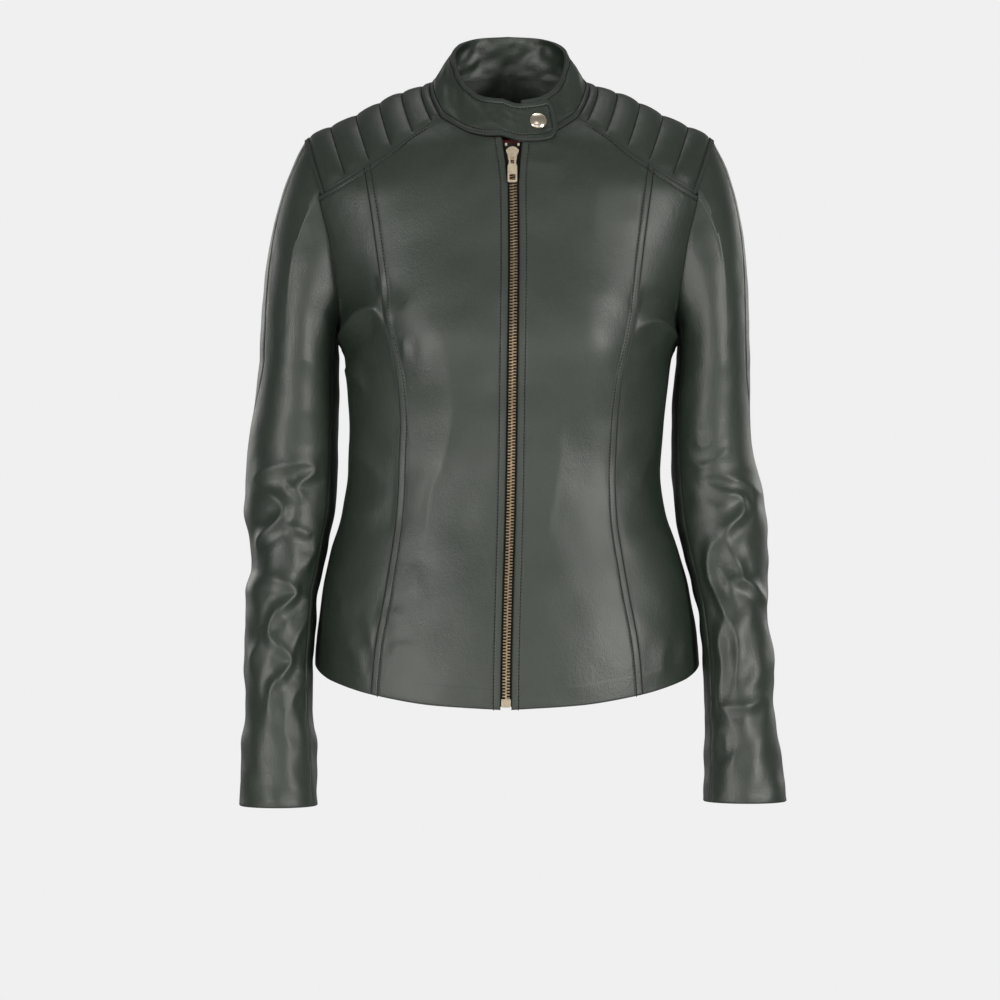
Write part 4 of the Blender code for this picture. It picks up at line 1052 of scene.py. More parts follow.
def repeat_along(
    name: str,
    lines: Sequence[Array],
    piece: bpy.types.Object,
    pitch: float,
    out: float,
    look: bpy.types.Material,
) -> bpy.types.Object:
    """Repeats a small piece along lines, and bakes the result to a plain mesh.

    Args:
        name: the new object's name.
        lines: rows of a point and an outward direction, in millimetres.
        piece: the piece to repeat, which is removed afterwards.
        pitch: the distance between two of them.
        out: how far they stand off the lines.
        look: their material.

    Returns:
        The plain mesh object, riding on the jacket.
    """
    points = np.concatenate([line[:, :3] + out * line[:, 3:] for line in lines]) * MM
    facing = np.concatenate([line[:, 3:] for line in lines])
    edges = []
    first = 0
    for line in lines:
        edges += [(first + k, first + k + 1) for k in range(len(line) - 1)]
        first += len(line)
    mesh = bpy.data.meshes.new(name + "_lines")
    mesh.from_pydata(points.tolist(), edges, [])
    mesh.attributes.new("facing", "FLOAT_VECTOR", "POINT").data.foreach_set("vector", facing.reshape(-1))
    guide = placed(name + "_lines", mesh)
    tree = bpy.data.node_groups.get("repeat_along_lines") or repeat_tree()
    modifier = guide.modifiers.new("repeat", "NODES")
    modifier.node_group = tree
    keys = {item.name: item.identifier for item in tree.interface.items_tree if item.in_out == "INPUT"}
    modifier[keys["Piece"]] = piece
    modifier[keys["Pitch"]] = pitch * MM
    modifier[keys["Material"]] = look
    guide.update_tag()
    graph = bpy.context.evaluated_depsgraph_get()
    baked = bpy.data.meshes.new_from_object(guide.evaluated_get(graph), depsgraph=graph)
    baked.name = name
    made = placed(name, baked)
    for helper in (guide, piece):
        bpy.data.objects.remove(helper)
    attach(made, "jacket")
    return made


@dataclass
class BodyPanels:
    """The two fronts on each side, and the back."""

    zip_stitch: float = 6.7
    bust_stitch: float = 6.8
    yoke_stitch: float = 5.2
    hem_fold: float = 18.5

    def build(self, side: Side, dressed: Dressed, sewing: Stitching) -> None:
        """Makes one side's panels."""
        hem = EdgeFinish(fold=self.hem_fold, roll=0.95)
        self.build_centre(side, dressed, sewing, hem)
        self.build_side(side, dressed, sewing, hem)
        self.build_back(side, dressed, sewing, hem)

    def build_centre(self, side: Side, dressed: Dressed, sewing: Stitching, hem: EdgeFinish) -> None:
        """Makes the panel between the zip and the bust seam."""
        neck = FORM.neck(denser(np.linspace(8, 60, 6)), front=True)
        yoke = FORM.yoke_front(denser((0, 0.225, 0.405, 0.585, 0.635), 16))
        top = np.concatenate([neck, yoke[1:]])
        bust = FORM.upright(BUST_SEAM, BUST_SEAM[0].z, BUST_SEAM[-1].z)
        edge = FORM.upright(ZIP_EDGE, HEM[0].z, float(top[0, 1]))
        top[-1] = bust[-1]
        edge[-1] = top[0]
        bottom = FORM.hem(edge[0, 0], bust[0, 0])
        bottom[0], bottom[-1] = edge[0], bust[0]
        yoke_start = 5 / 9
        finishes = {
            "left": EdgeFinish(stitch=self.zip_stitch, roll=0.95),
            "right": EdgeFinish(stitch=self.bust_stitch),
            "bottom": hem,
            "top": EdgeFinish(stitch=self.yoke_stitch, start=yoke_start),
        }
        name, edges = "leather_front_centre_" + side.word, (bottom, bust, top, edge)
        piece = body_piece(name, side, edges, finishes, [yoke_start])
        made = piece.build(dressed.leather, dressed.lining, [("bottom", self.hem_fold), ("left", 30)])
        finish_cloth(made, "front_centre_" + side.word)
        sewing.add(piece.path("left", self.zip_stitch, 0.002, 0.998))
        sewing.add(piece.path("right", self.bust_stitch, 0.002, 0.99))
        sewing.add(piece.path("top", self.yoke_stitch, yoke_start + 0.02, 0.998))

    def build_side(self, side: Side, dressed: Dressed, sewing: Stitching, hem: EdgeFinish) -> None:
        """Makes the panel between the bust seam and the side seam."""
        top = FORM.yoke_front(denser((0.635, 0.785, 0.9, 1.0)))
        bust = FORM.upright(BUST_SEAM, BUST_SEAM[0].z, BUST_SEAM[-1].z)
        edge = FORM.side(ARMHOLE_FRONT, (180, 164, 148, 130, 112, 94, 76, 58, 40))
        top[0], top[-1] = bust[-1], edge[-1]
        bottom = FORM.hem(bust[0, 0], math.pi / 2)
        bottom[0], bottom[-1] = bust[0], edge[0]
        finishes = {
            "left": EdgeFinish(),
            "right": EdgeFinish(),
            "bottom": hem,
            "top": EdgeFinish(stitch=self.yoke_stitch),
        }
        piece = body_piece("leather_front_side_" + side.word, side, (bottom, edge, top, bust), finishes)
        made = piece.build(dressed.leather, dressed.lining, [("bottom", self.hem_fold)])
        finish_cloth(made, "front_side_" + side.word)
        sewing.add(piece.path("top", self.yoke_stitch, 0.002, 0.99))

    def build_back(self, side: Side, dressed: Dressed, sewing: Stitching, hem: EdgeFinish) -> None:
        """Makes half of the back."""
        seam = FORM.side(ARMHOLE_BACK, (180, 203, 227, 250, 273, 297, 320))
        yoke = FORM.yoke_back(denser((1.0, 0.785, 0.585, 0.405, 0.225, 0.0)))
        edge = np.concatenate([seam, yoke[1:]])
        top = FORM.neck(denser(np.linspace(122, 180, 8)), front=False)
        z = even_steps(HEM[-1].z, (ARMHOLE_BACK[0].z, 12), (ARMHOLE_BACK_TOP.z, 6), (NECK_BACK[-1].z, 5))
        middle = np.stack([np.full(len(z), math.pi), z], axis=-1)
        middle = np.stack([denser(column) for column in middle.T], axis=-1)
        top[0], top[-1] = edge[-1], middle[-1]
        bottom = FORM.hem(math.pi / 2, math.pi)
        bottom[0], bottom[-1] = edge[0], middle[0]
        armhole_end = 18 / 23
        finishes = {
            "left": EdgeFinish(stitch=self.yoke_stitch, start=armhole_end),
            "right": EdgeFinish(),
            "bottom": hem,
            "top": EdgeFinish(),
        }
        piece = body_piece("leather_back_" + side.word, side, (bottom, middle, top, edge), finishes)
        made = piece.build(dressed.leather, dressed.lining, [("bottom", self.hem_fold), ("top", 30)])
        finish_cloth(made, "back_" + side.word)


class Cut(NamedTuple):
    """The flat size that a piece is cut to, in metres, and its area."""

    width: float
    length: float
    area: float


def finish_cloth(made: bpy.types.Object, node: str) -> None:
    """Hides the CAD node that a cloth piece stands in for, and logs its size in faces."""
    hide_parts(node)
    log.info("%s: %d faces", made.name, len(made.data.polygons))


@dataclass
class QuiltedShoulders:
    """The padded yokes, sewn through in channels from front to back."""

    puff: float = 1.7
    lines: tuple[float, ...] = (0.07, 0.225, 0.405, 0.585, 0.785)
    border: float = 0.955
    shift: float = 1.2
    armhole_stitch: float = 5.4
    width: float = 125.0
    length: float = 165.0
    thickness: float = WALL

    def point(self, side: Side, share: Array, over: Array) -> Array:
        """A point of the plain form, from neck to armhole and front to back."""
        share, over = np.broadcast_arrays(np.asarray(share, float), np.asarray(over, float))
        flat = share.reshape(-1)
        front_place, back_place = FORM.yoke_front(flat), FORM.yoke_back(flat)
        front = FORM.point(side.value * front_place[:, 0], front_place[:, 1])
        back = FORM.point(side.value * back_place[:, 0], back_place[:, 1])
        x, y, z = (read(RIDGE, field, "share", flat) for field in ("x", "y", "z"))
        top = np.stack([side.value * x + self.shift, y, z], axis=-1)
        t = over.reshape(-1, 1)
        made = (1 - t) * (1 - 2 * t) * front + 4 * t * (1 - t) * top + t * (2 * t - 1) * back
        return made.reshape(*share.shape, 3)

    def outwards(self, side: Side, share: Array, over: Array) -> Array:
        """The plain form's outward directions."""
        step = 1e-3
        share, over = np.broadcast_arrays(np.asarray(share, float), np.asarray(over, float))
        share, over = np.clip(share, step, 1 - step), np.clip(over, step, 1 - step)
        across = self.point(side, share + step, over) - self.point(side, share - step, over)
        along = self.point(side, share, over + step) - self.point(side, share, over - step)
        return unit(np.cross(across, along)) * side.value

    def padding(self, share: Array, over: Array) -> Array:
        """How far the padding lifts the leather between the sewn lines."""
        lift = np.zeros_like(share)
        lines = (0.0, *self.lines, self.border)
        for k, (low, high) in enumerate(zip(lines, lines[1:])):
            middle = np.abs(2 * (share - low) / (high - low) - 1)
            inside = (share > low) & (share < high)
            uneven = 1 + 0.05 * np.sin(23 * over + 2.1 * k) + 0.04 * np.sin(41 * over + k)
            lift = np.where(inside, (1 - middle**2.6) * uneven, lift)
        ends = ease(np.minimum(over, 1 - over) / 0.055)
        return self.puff * lift * ends

    def build(self, side: Side, dressed: Dressed, sewing: Stitching) -> None:
        """Makes one shoulder."""
        width, length = self.width, self.length
        fine = [line * width for line in (0.0, *self.lines, 1.0)] + [width - self.armhole_stitch]
        share = graded(width, fine, 0.5, 1.8, keep=self.lines)[None]
        over = graded(length, [0.0, length], 0.6, 2.2)[:, None]
        points, outwards = self.point(side, share, over), self.outwards(side, share, over)
        lift = self.padding(*np.broadcast_arrays(share, over))
        finishes = {
            "left": EdgeFinish(roll=0.7),
            "right": EdgeFinish(stitch=self.armhole_stitch, roll=0.8),
            "bottom": EdgeFinish(roll=0.8),
            "top": EdgeFinish(roll=0.8),
        }
        name = "leather_quilt_" + side.word
        piece = LeatherPiece(name, points, outwards, finishes, thickness=self.thickness)
        piece.finish_edges()
        groove = np.zeros_like(lift)
        for line in self.lines:
            away = (share - line) * width
            ends = (over > 0.03) & (over < 0.97)
            ripple = np.sin(0.8 * length * over + 9 * line) * np.sin(0.37 * length * over)
            pucker = 0.14 * np.exp(-((away / 4.5) ** 2)) * ripple
            groove += (0.35 * np.exp(-((away / 0.8) ** 2)) - pucker) * ends
        piece.points = piece.points + (lift - groove)[..., None] * piece.outwards
        # painted shade: the leather's colour is darkened in the quilting grooves
        piece.dark = np.maximum(piece.dark, np.clip(groove * 1.6, 0, 1))
        made = piece.build(dressed.leather, dressed.lining)
        finish_cloth(made, "shoulder_quilt_" + side.word)
        columns = [int(np.argmin(np.abs(share[0] - line))) for line in self.lines]
        directions = piece.face_directions()
        inside = (over[:, 0] > 0.035) & (over[:, 0] < 0.965)
        for column in columns:
            sewing.add(np.concatenate([piece.points[inside, column], directions[inside, column]], axis=-1))
        sewing.add(piece.path("right", self.armhole_stitch, 0.01, 0.99))


SHOULDERS = QuiltedShoulders()


@dataclass
class Sleeve:
    """A two-piece sleeve, from the armhole to the cuff."""

    side: Side
    front_seam: float = 148.0
    radius: float = 45.0
    stand_off: float = -0.8
    splay: float = 0.03
    even_from: float = -100.0
    even_below: float = -250.0
    cuff_fold: float = 20.0

    def ring(self, angle: Array, z: Array) -> tuple[Array, Array]:
        """Points of the sleeve's level section, and the ways out from them."""
        table = SLEEVES[self.side]
        fields = ("outer", "inner", "half_depth", "middle_y")
        outer, inner, depth, middle = (read(table, field, "z", z) for field in fields)
        half_width = (outer - inner) / 2
        sign = self.side.value
        x = sign * ((outer + inner) / 2 + half_width * np.cos(angle))
        y = middle - depth * np.sin(angle)
        out_x, out_y = sign * depth * np.cos(angle), -half_width * np.sin(angle)
        out = np.stack([out_x, out_y, np.zeros_like(x)], axis=-1)
        return np.stack([x, y, z], axis=-1), unit(out)

    def armhole(self, stops: Array) -> Array:
        """Points of the armhole seam."""
        turn = (stops + 180) % 360 - 180
        over = (ARMHOLE_CORNER - turn) / (2 * ARMHOLE_CORNER)
        points = SHOULDERS.point(self.side, 1.0, np.clip(over, 0, 1))
        for table, here in (
            (ARMHOLE_FRONT, (turn % 360 <= 180) & (turn > ARMHOLE_CORNER)),
            (ARMHOLE_BACK, (turn % 360 > 180) & (turn < -ARMHOLE_CORNER)),
        ):
            place = FORM.armhole(table, turn[here] % 360)
            points[here] = FORM.point(self.side.value * place[:, 0], place[:, 1])
        return points

    def angles(self, stops: Array, z: float) -> Array:
        """Where each column runs at one height. The seams' columns keep to them."""
        outer = float(read(OUTER_SLEEVE_SEAM, "angle", "z", z))
        count = int(np.argmin(np.abs(stops - self.front_seam)))
        upper = np.linspace(outer, self.front_seam, count + 1)
        under = np.linspace(self.front_seam, 360 + outer, len(stops) - count)
        even = np.concatenate([upper, under[1:]])
        turn = 360 + outer - self.front_seam
        own_upper = outer + (self.front_seam - outer) * (stops - stops[0]) / (self.front_seam - stops[0])
        own_under = self.front_seam + turn * (stops - self.front_seam) / (stops[-1] - self.front_seam)
        own = np.where(stops <= self.front_seam, own_upper, own_under)
        blend = np.clip((self.even_from - z) / (self.even_from - self.even_below), 0, 1)
        return np.radians(own + (even - own) * blend)

    def cap_start(self, angle: Array) -> Array:
        """The way the sleeve leaves the armhole seam."""
        edges = np.sin(angle) ** 2
        sideways = 0.38 + 0.12 * np.cos(angle) + 0.22 * edges
        x, y, z = self.side.value * sideways, -0.16 * np.sin(angle), 0.20 * edges - 0.87
        return unit(np.stack([x, y, z], axis=-1))

    def grid(self, stops: Array) -> tuple[Array, Array, Array]:
        """The whole sleeve's points, outward directions and creases."""
        table = SLEEVES[self.side]
        top_z, cuff_z = table[0].z, table[-1].z
        start = self.armhole(stops)
        start = start + np.array([self.side.value * self.stand_off, 0, 0])
        radians = np.radians(stops)
        end, _ = self.ring(self.angles(stops, top_z), np.full(len(stops), float(top_z)))
        reach = np.linalg.norm(end - start, axis=-1, keepdims=True)
        leave = self.cap_start(radians) * reach
        arrive = np.array([self.side.value * self.splay, 0, -1]) * reach
        t = graded(150, [0.0], 0.6, 2.6)[:-1, None, None]
        rows = (
            (2 * t**3 - 3 * t**2 + 1) * start
            + (t**3 - 2 * t**2 + t) * leave
            + (3 * t**2 - 2 * t**3) * end
            + (t**3 - t**2) * arrive
        )
        length = top_z - cuff_z
        down = graded(length, [length], 0.6, 2.3)
        levels = [top_z - share * length for share in down]
        rings = [self.ring(self.angles(stops, z), np.full(len(stops), z))[0] for z in levels]
        grid = np.concatenate([rows, np.array(rings)])
        angle = np.array([self.angles(stops, z) for z in grid[:, :, 2].mean(axis=1)])
        looped = np.concatenate([grid[:, -2:-1], grid, grid[:, 1:2]], axis=1)
        around = np.gradient(looped, axis=1)[:, 1:-1]
        out = unit(np.cross(around, np.gradient(grid, axis=0))) * self.side.value
        across = angle * self.radius
        scale = math.radians(1) * self.radius
        lift = crease_relief(SLEEVE_CREASES[self.side], across, grid[..., 2], math.tau * self.radius, scale)
        wear_and_seam_shade = 0.25 + 0.45 * ease((-320 - grid[..., 2]) / 80)
        lift += wear_and_seam_shade * unevenness(1.4 * across + 61 * self.side.value, 1.4 * grid[..., 2])
        return grid, out, lift

    def build(self, dressed: Dressed, sewing: Stitching) -> None:
        """Makes the upper and the under sleeve."""
        upper = self.columns((10, 20, 30, 40, 58, 76, 94, 112, 130, 148))
        under = self.columns((148, 164, 180, 203, 227, 250, 273, 297, 320, 330, 340, 350, 360, 370))
        stops = np.concatenate([upper, under[1:]])
        grid, out, lift = self.grid(stops)
        last = len(upper)
        for word, columns in (("upper", np.s_[:, :last]), ("under", np.s_[:, last - 1 :])):
            finishes = {
                "left": EdgeFinish(roll=0.8),
                "right": EdgeFinish(roll=0.8),
                "bottom": EdgeFinish(roll=0.5),
                "top": EdgeFinish(fold=self.cuff_fold, roll=0.95),
            }
            name = f"leather_sleeve_{word}_{self.side.word}"
            piece = LeatherPiece(name, grid[columns], out[columns], finishes, lift[columns])
            piece.finish_edges()
            made = piece.build(dressed.leather, dressed.lining, [("top", self.cuff_fold)])
            finish_cloth(made, f"sleeve_{word}_{self.side.word}")

    def columns(self, stops: Sequence[float]) -> Array:
        """Fine columns between stops, closer together at the two seams."""
        width = 14.0 * (len(stops) - 1)
        shares = graded(width, [0.0, width], 0.65, 2.5)
        return np.interp(shares * (len(stops) - 1), np.arange(len(stops)), stops)


class CollarPiece(LeatherPiece):
    """The collar's leather, whose topstitch runs round the tab's round end."""

    def reach(self, edge: str) -> Array:
        """How far each point lies from an edge, or from the whole outline."""
        if edge != "outline":
            return super().reach(edge)
        away = np.minimum(super().reach("top"), super().reach("bottom"))
        near = self.points[0, :, :] - self.points[0, -1]
        last = np.linalg.norm(near, axis=-1) < 34
        ends = self.points[:, last]
        rim = np.concatenate([ends[0], ends[1:, -1], ends[-1, ::-1]])
        steps = np.linspace(0, len(rim) - 1, 12 * len(rim))
        rim = np.stack([np.interp(steps, np.arange(len(rim)), column) for column in rim.T], axis=-1)
        flat = ends.reshape(-1, 3)
        true = np.array([np.sqrt(((rim - point) ** 2).sum(-1).min()) for point in flat])
        away[:, last] = true.reshape(ends.shape[:2])
        return away

    def edge_length(self, edge: str) -> float:
        """The length of an edge, or of the collar for its outline."""
        return super().edge_length("top" if edge == "outline" else edge)


@dataclass
class Collar:
    """The stand collar, with a tab that laps over the zip."""

    shift: float = 3.5
    end: float = 396.0
    lift: float = 4.2
    drop: float = 0.14
    top_drop: float = 0.13
    corner: float = 11.0
    radius: float = 70.0
    ease_under: float = 0.5
    start: float = 8.0
    stitch: float = 5.2
    neck_stitch: float = 5.2

    def neck_point(self, angle: float) -> Array:
        """A point of the neck seam at an angle in degrees round the neck."""
        turn = (angle + 180) % 360 - 180
        side = Side.RIGHT if turn < 0 else Side.LEFT
        turn = abs(turn)
        first, last = NECK_FRONT[-1].angle, NECK_BACK[0].angle
        if first < turn < last:
            return SHOULDERS.point(side, 0.0, (turn - first) / (last - first))
        place = FORM.neck([turn], front=turn <= first)[0]
        return FORM.point(side.value * place[0], place[1])

    def top_point(self, angle: float) -> Array:
        """A point of the collar's top edge."""
        turn = (angle + 180) % 360 - 180
        side = -1 if turn < 0 else 1
        turn = abs(turn)
        x, y, z = (float(read(COLLAR_TOP, field, "angle", turn)) for field in ("x", "y", "z"))
        return np.array([side * x + self.shift * 0.5 * (1 + math.cos(math.radians(turn))), y, z])

    def tab_share(self, angle: float) -> float:
        """How much of the tab's lift the collar has at an angle."""
        return float(smooth(angle, (278, 318, 357, self.end), (0, 0, 1, 1)))

    def column(self, angle: float, shares: Array) -> Array:
        """Points of the outer face at one angle. A share runs from seam to top."""
        base, top = self.neck_point(angle), self.top_point(angle)
        turn = math.radians(angle)
        out = unit(np.array([math.sin(turn), -math.cos(turn), 0.25]))
        return base + (top - base) * np.asarray(shares)[:, None] + self.lift * self.tab_share(angle) * out

    @cached_property
    def height(self) -> float:
        """The collar's height at the front."""
        return float(np.linalg.norm(self.top_point(0) - self.neck_point(0)))

    def span(self, angle: float, inset: float = 0.0) -> tuple[float, float]:
        """The shares between which the collar stands at an angle.

        Args:
            angle: degrees round the neck.
            inset: how far inside the edges, in millimetres.

        Returns:
            The low and the high share.
        """
        past = float(np.clip((angle - 352) / 14, 0, 1))
        seam = (0.15 + self.ease_under * min(1.0, 5 * self.tab_share(angle))) / self.height
        low = seam - (self.drop + seam) * past + inset / self.height
        high = 1 - self.top_drop * past - inset / self.height
        from_end = math.radians(self.end - angle) * self.radius - inset
        corner = self.corner - inset
        if from_end < corner:
            cut = (corner - math.sqrt(max(corner**2 - (corner - max(from_end, 0)) ** 2, 0))) / self.height
            return low + cut, high - cut
        return low, high

    def line(self, angles: Array, inset: float, top: bool) -> list[Array]:
        """Points along the collar at an inset from its top or bottom edge."""
        return [self.column(angle, [self.span(angle, inset)[1 if top else 0]])[0] for angle in angles]

    def build(self, dressed: Dressed, sewing: Stitching) -> None:
        """Makes the collar and its stitch lines."""
        straight = self.end - math.degrees(self.corner / self.radius)
        rounded = self.end - (self.end - straight) * (1 - np.sin(np.radians(np.linspace(0, 90, 15))))
        around = np.concatenate([np.linspace(self.start, 60, 40), np.linspace(60, 122, 46)[1:]])
        around = np.concatenate([around, np.linspace(122, 238, 90)[1:], np.linspace(238, 300, 46)[1:]])
        around = np.concatenate([around, np.linspace(300, straight, 80)[1:], rounded[1:]])
        height = self.height
        up = graded(height, [0.0, height, self.neck_stitch, height - self.stitch], 0.55, 1.6)
        spans = [self.span(angle) for angle in around]
        grid = np.array([self.column(a, low + (high - low) * up) for a, (low, high) in zip(around, spans)])
        grid = grid.transpose(1, 0, 2)
        out = unit(np.cross(np.gradient(grid, axis=1), np.gradient(grid, axis=0)))
        walk = np.radians(around)[None] * self.radius
        tall = up[:, None] * height
        relief = 0.8 * unevenness(0.9 * walk, 1.5 * tall) + 0.5 * unevenness(2.6 * walk + 40, 3.1 * tall)
        finishes = {"left": EdgeFinish(roll=1.0), "outline": EdgeFinish(stitch=self.stitch, roll=1.15)}
        piece = CollarPiece("leather_collar", grid, out, finishes, relief, COLLAR_WALL)
        piece.finish_edges()
        made = piece.build(dressed.leather, dressed.leather)
        finish_cloth(made, "collar")
        sewing.add(self.border(piece, around))

    def border(self, piece: LeatherPiece, around: Array) -> Array:
        """The stitch line along the top, round the tab's end and back below."""
        inner_end = self.end - math.degrees(self.stitch / self.radius)
        run = np.linspace(self.start + 3, inner_end - 4.5, 300)
        bend = np.linspace(inner_end - 4.4, inner_end, 12)
        top = self.line(np.concatenate([run, bend]), self.stitch, True)
        bottom = self.line(np.concatenate([run, bend])[::-1], self.neck_stitch, False)
        points = np.array(top + bottom)
        faces = piece.points.reshape(-1, 3)
        directions = piece.face_directions().reshape(-1, 3)
        nearest = [int(np.argmin(((faces - p) ** 2).sum(-1))) for p in points]
        way = directions[nearest]
        offset = ((faces[nearest] - points) * way).sum(-1, keepdims=True)
        return np.concatenate([points + offset * way, way], axis=-1)


COLLAR = Collar()


@dataclass
class Zip:
    """The closed front zip: tapes, two rows of teeth and its metal."""

    pitch: float = 2.75
    tooth: tuple[float, float, float] = (3.95, 2.0, 1.36)
    tape_x: tuple[float, float] = (0.5, 14.0)
    tape_depths: tuple[float, float] = (3.1, 4.0)
    tape_z: tuple[float, float] = (-562.0, -54.0)
    lining_depths: tuple[float, float] = (4.6, 5.8)
    lining_z: tuple[float, float] = (-84.0, -50.5)
    chain_z: tuple[float, float] = (-554.0, -71.8)

    def strip(
        self,
        name: str,
        x: Array,
        z: Array,
        depths: tuple[float, float],
        look: bpy.types.Material,
    ) -> bpy.types.Object:
        """A strip that follows the front's middle, inside its outer face."""
        x, z = np.broadcast_arrays(x[None, :], z[:, None])
        angle = FORM.front_angle(x, z)
        out = FORM.outwards(angle, z)
        points = FORM.point(angle, z) - depths[0] * out
        piece = LeatherPiece(name, points, out, {}, thickness=depths[1] - depths[0])
        piece.finish_edges()
        return piece.build(look, look)

    def tooth_form(self) -> bpy.types.Object:
        """One tooth, its head towards -X, its face along +Y."""
        width, depth, height = self.tooth
        outline = ((0.0, 0.30), (0.12, 0.5), (0.42, 0.5), (0.5, 0.44), (1.0, 0.44))
        made = bmesh.new()
        rows = []
        for front in (-0.5, 0.5):
            squeeze = 1.0 if front < 0 else 0.78
            ring = [(x, z * squeeze) for x, z in outline]
            ring += [(x, -z) for x, z in reversed(ring)]
            y = front * depth * MM
            rows.append([
                made.verts.new(((x - 0.16) * width * MM, y, z * height * MM)) for x, z in ring
            ])
        count = len(rows[0])
        made.faces.new(rows[1])
        made.faces.new(rows[0][::-1])
        for k in range(count):
            made.faces.new((rows[0][k], rows[0][(k + 1) % count], rows[1][(k + 1) % count], rows[1][k]))
        bmesh.ops.recalc_face_normals(made, faces=made.faces)
        mesh = bpy.data.meshes.new("tooth_form")
        made.to_mesh(mesh)
        made.free()
        return placed("tooth_form", mesh)

    def chain(self, dressed: Dressed) -> None:
        """Makes the two rows of teeth, half a pitch apart."""
        rows = []
        for side in Side:
            shift = self.pitch / 2 if side is Side.LEFT else 0.0
            z = np.arange(self.chain_z[0] + shift, self.chain_z[1], 2.0)
            if side is Side.RIGHT:
                z = z[::-1]
            line = FORM.point(0.0, z)
            out = FORM.outwards(np.zeros_like(z), z)
            rows.append(np.concatenate([line, out], axis=-1))
        made = repeat_along("zip_teeth", rows, self.tooth_form(), self.pitch, -0.8, dressed.teeth)
        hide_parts("zip_chain")
        log.info("zip_teeth: %d faces", len(made.data.polygons))

    def build(self, dressed: Dressed) -> None:
        """Makes the tapes, the lining behind the top of the zip and the chain."""
        for side in Side:
            x = side.value * np.linspace(*self.tape_x, 16)
            z = np.linspace(*self.tape_z, 200)
            made = self.strip("woven_tape_" + side.word, x, z, self.tape_depths, dressed.tape)
            finish_cloth(made, "zip_tape_" + side.word)
        x, z = np.linspace(-15, 15, 24), np.linspace(*self.lining_z, 24)
        made = self.strip("throat_cloth", x, z, self.lining_depths, dressed.lining)
        finish_cloth(made, "throat_lining")
        self.chain(dressed)


@dataclass
class SnapCap:
    """The press stud's domed cap, with a rolled rim."""

    angle: float = 380.5
    share: float = 0.36
    radius: float = 7.75
    rise: float = 2.4
    clearance: float = 0.35
    sides: int = 72
    profile: tuple[tuple[float, float], ...] = (
        (0.0, 1.0),
        (0.30, 0.93),
        (0.56, 0.77),
        (0.76, 0.56),
        (0.87, 0.38),
        (0.93, 0.44),
        (1.0, 0.26),
        (1.0, 0.0),
    )

    def build(self, dressed: Dressed) -> None:
        """Makes the cap on the tab."""
        here = COLLAR.column(self.angle, [self.share])[0]
        before, after = (COLLAR.column(self.angle + step, [self.share])[0] for step in (-2, 2))
        along = after - before
        low, high = COLLAR.column(self.angle, [self.share - 0.1, self.share + 0.1])
        facing = unit(np.cross(along, high - low))
        sideways = unit(along)
        upwards = np.cross(facing, sideways)
        curve = rounded_path(self.profile[:-1], 6)
        curve = np.concatenate([curve, [self.profile[-1]]])
        turn = np.linspace(0, math.tau, self.sides, endpoint=False)
        ring = np.cos(turn)[:, None] * sideways + np.sin(turn)[:, None] * upwards
        middle = here + self.clearance * facing
        rows = [middle + r * self.radius * ring + h * self.rise * facing for r, h in curve[1:]]
        tip = middle + self.rise * facing
        points = np.concatenate([[tip], *rows]) * MM
        k = np.arange(self.sides)
        after = (k + 1) % self.sides
        faces = [[0, 1 + a, 1 + b] for a, b in zip(k, after)]
        for row in range(len(rows) - 1):
            first = 1 + row * self.sides
            second = first + self.sides
            faces += [[first + a, second + a, second + b, first + b] for a, b in zip(k, after)]
        faces.append(list(1 + (len(rows) - 1) * self.sides + k[::-1]))
        mesh = bpy.data.meshes.new("domed_cap")
        mesh.from_pydata(points.tolist(), [], [[int(v) for v in face] for face in faces])
        mesh.materials.append(dressed.cap)
        mesh.shade_smooth()
        mesh.set_sharp_from_angle(angle=math.radians(55))
        made = placed("domed_cap", mesh)
        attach(made, "jacket")
        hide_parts("snap_cap")
        log.info("domed_cap: %d faces", len(mesh.polygons))


def dress_metal(dressed: Dressed) -> None:
    """Gives the metal solids their finish and soft edges."""
    for node in ("zip_slider", "zip_pull", "zip_box", "zip_stop_left", "zip_stop_right"):
        solid = bpy.data.objects[node]
        solid.data.materials.clear()
        # painted shade: the zip box gets a darker copy of the brass, to tone down the front light it reflects
        solid.data.materials.append(dressed.worn_metal if node == "zip_box" else dressed.metal)
        bevel = solid.modifiers.new("soft_edges", "BEVEL")
        bevel.width = 0.22 * MM
        bevel.segments = 2
        bevel.limit_method = "ANGLE"
        bevel.angle_limit = math.radians(30)
        log.info("%s: finished", node)


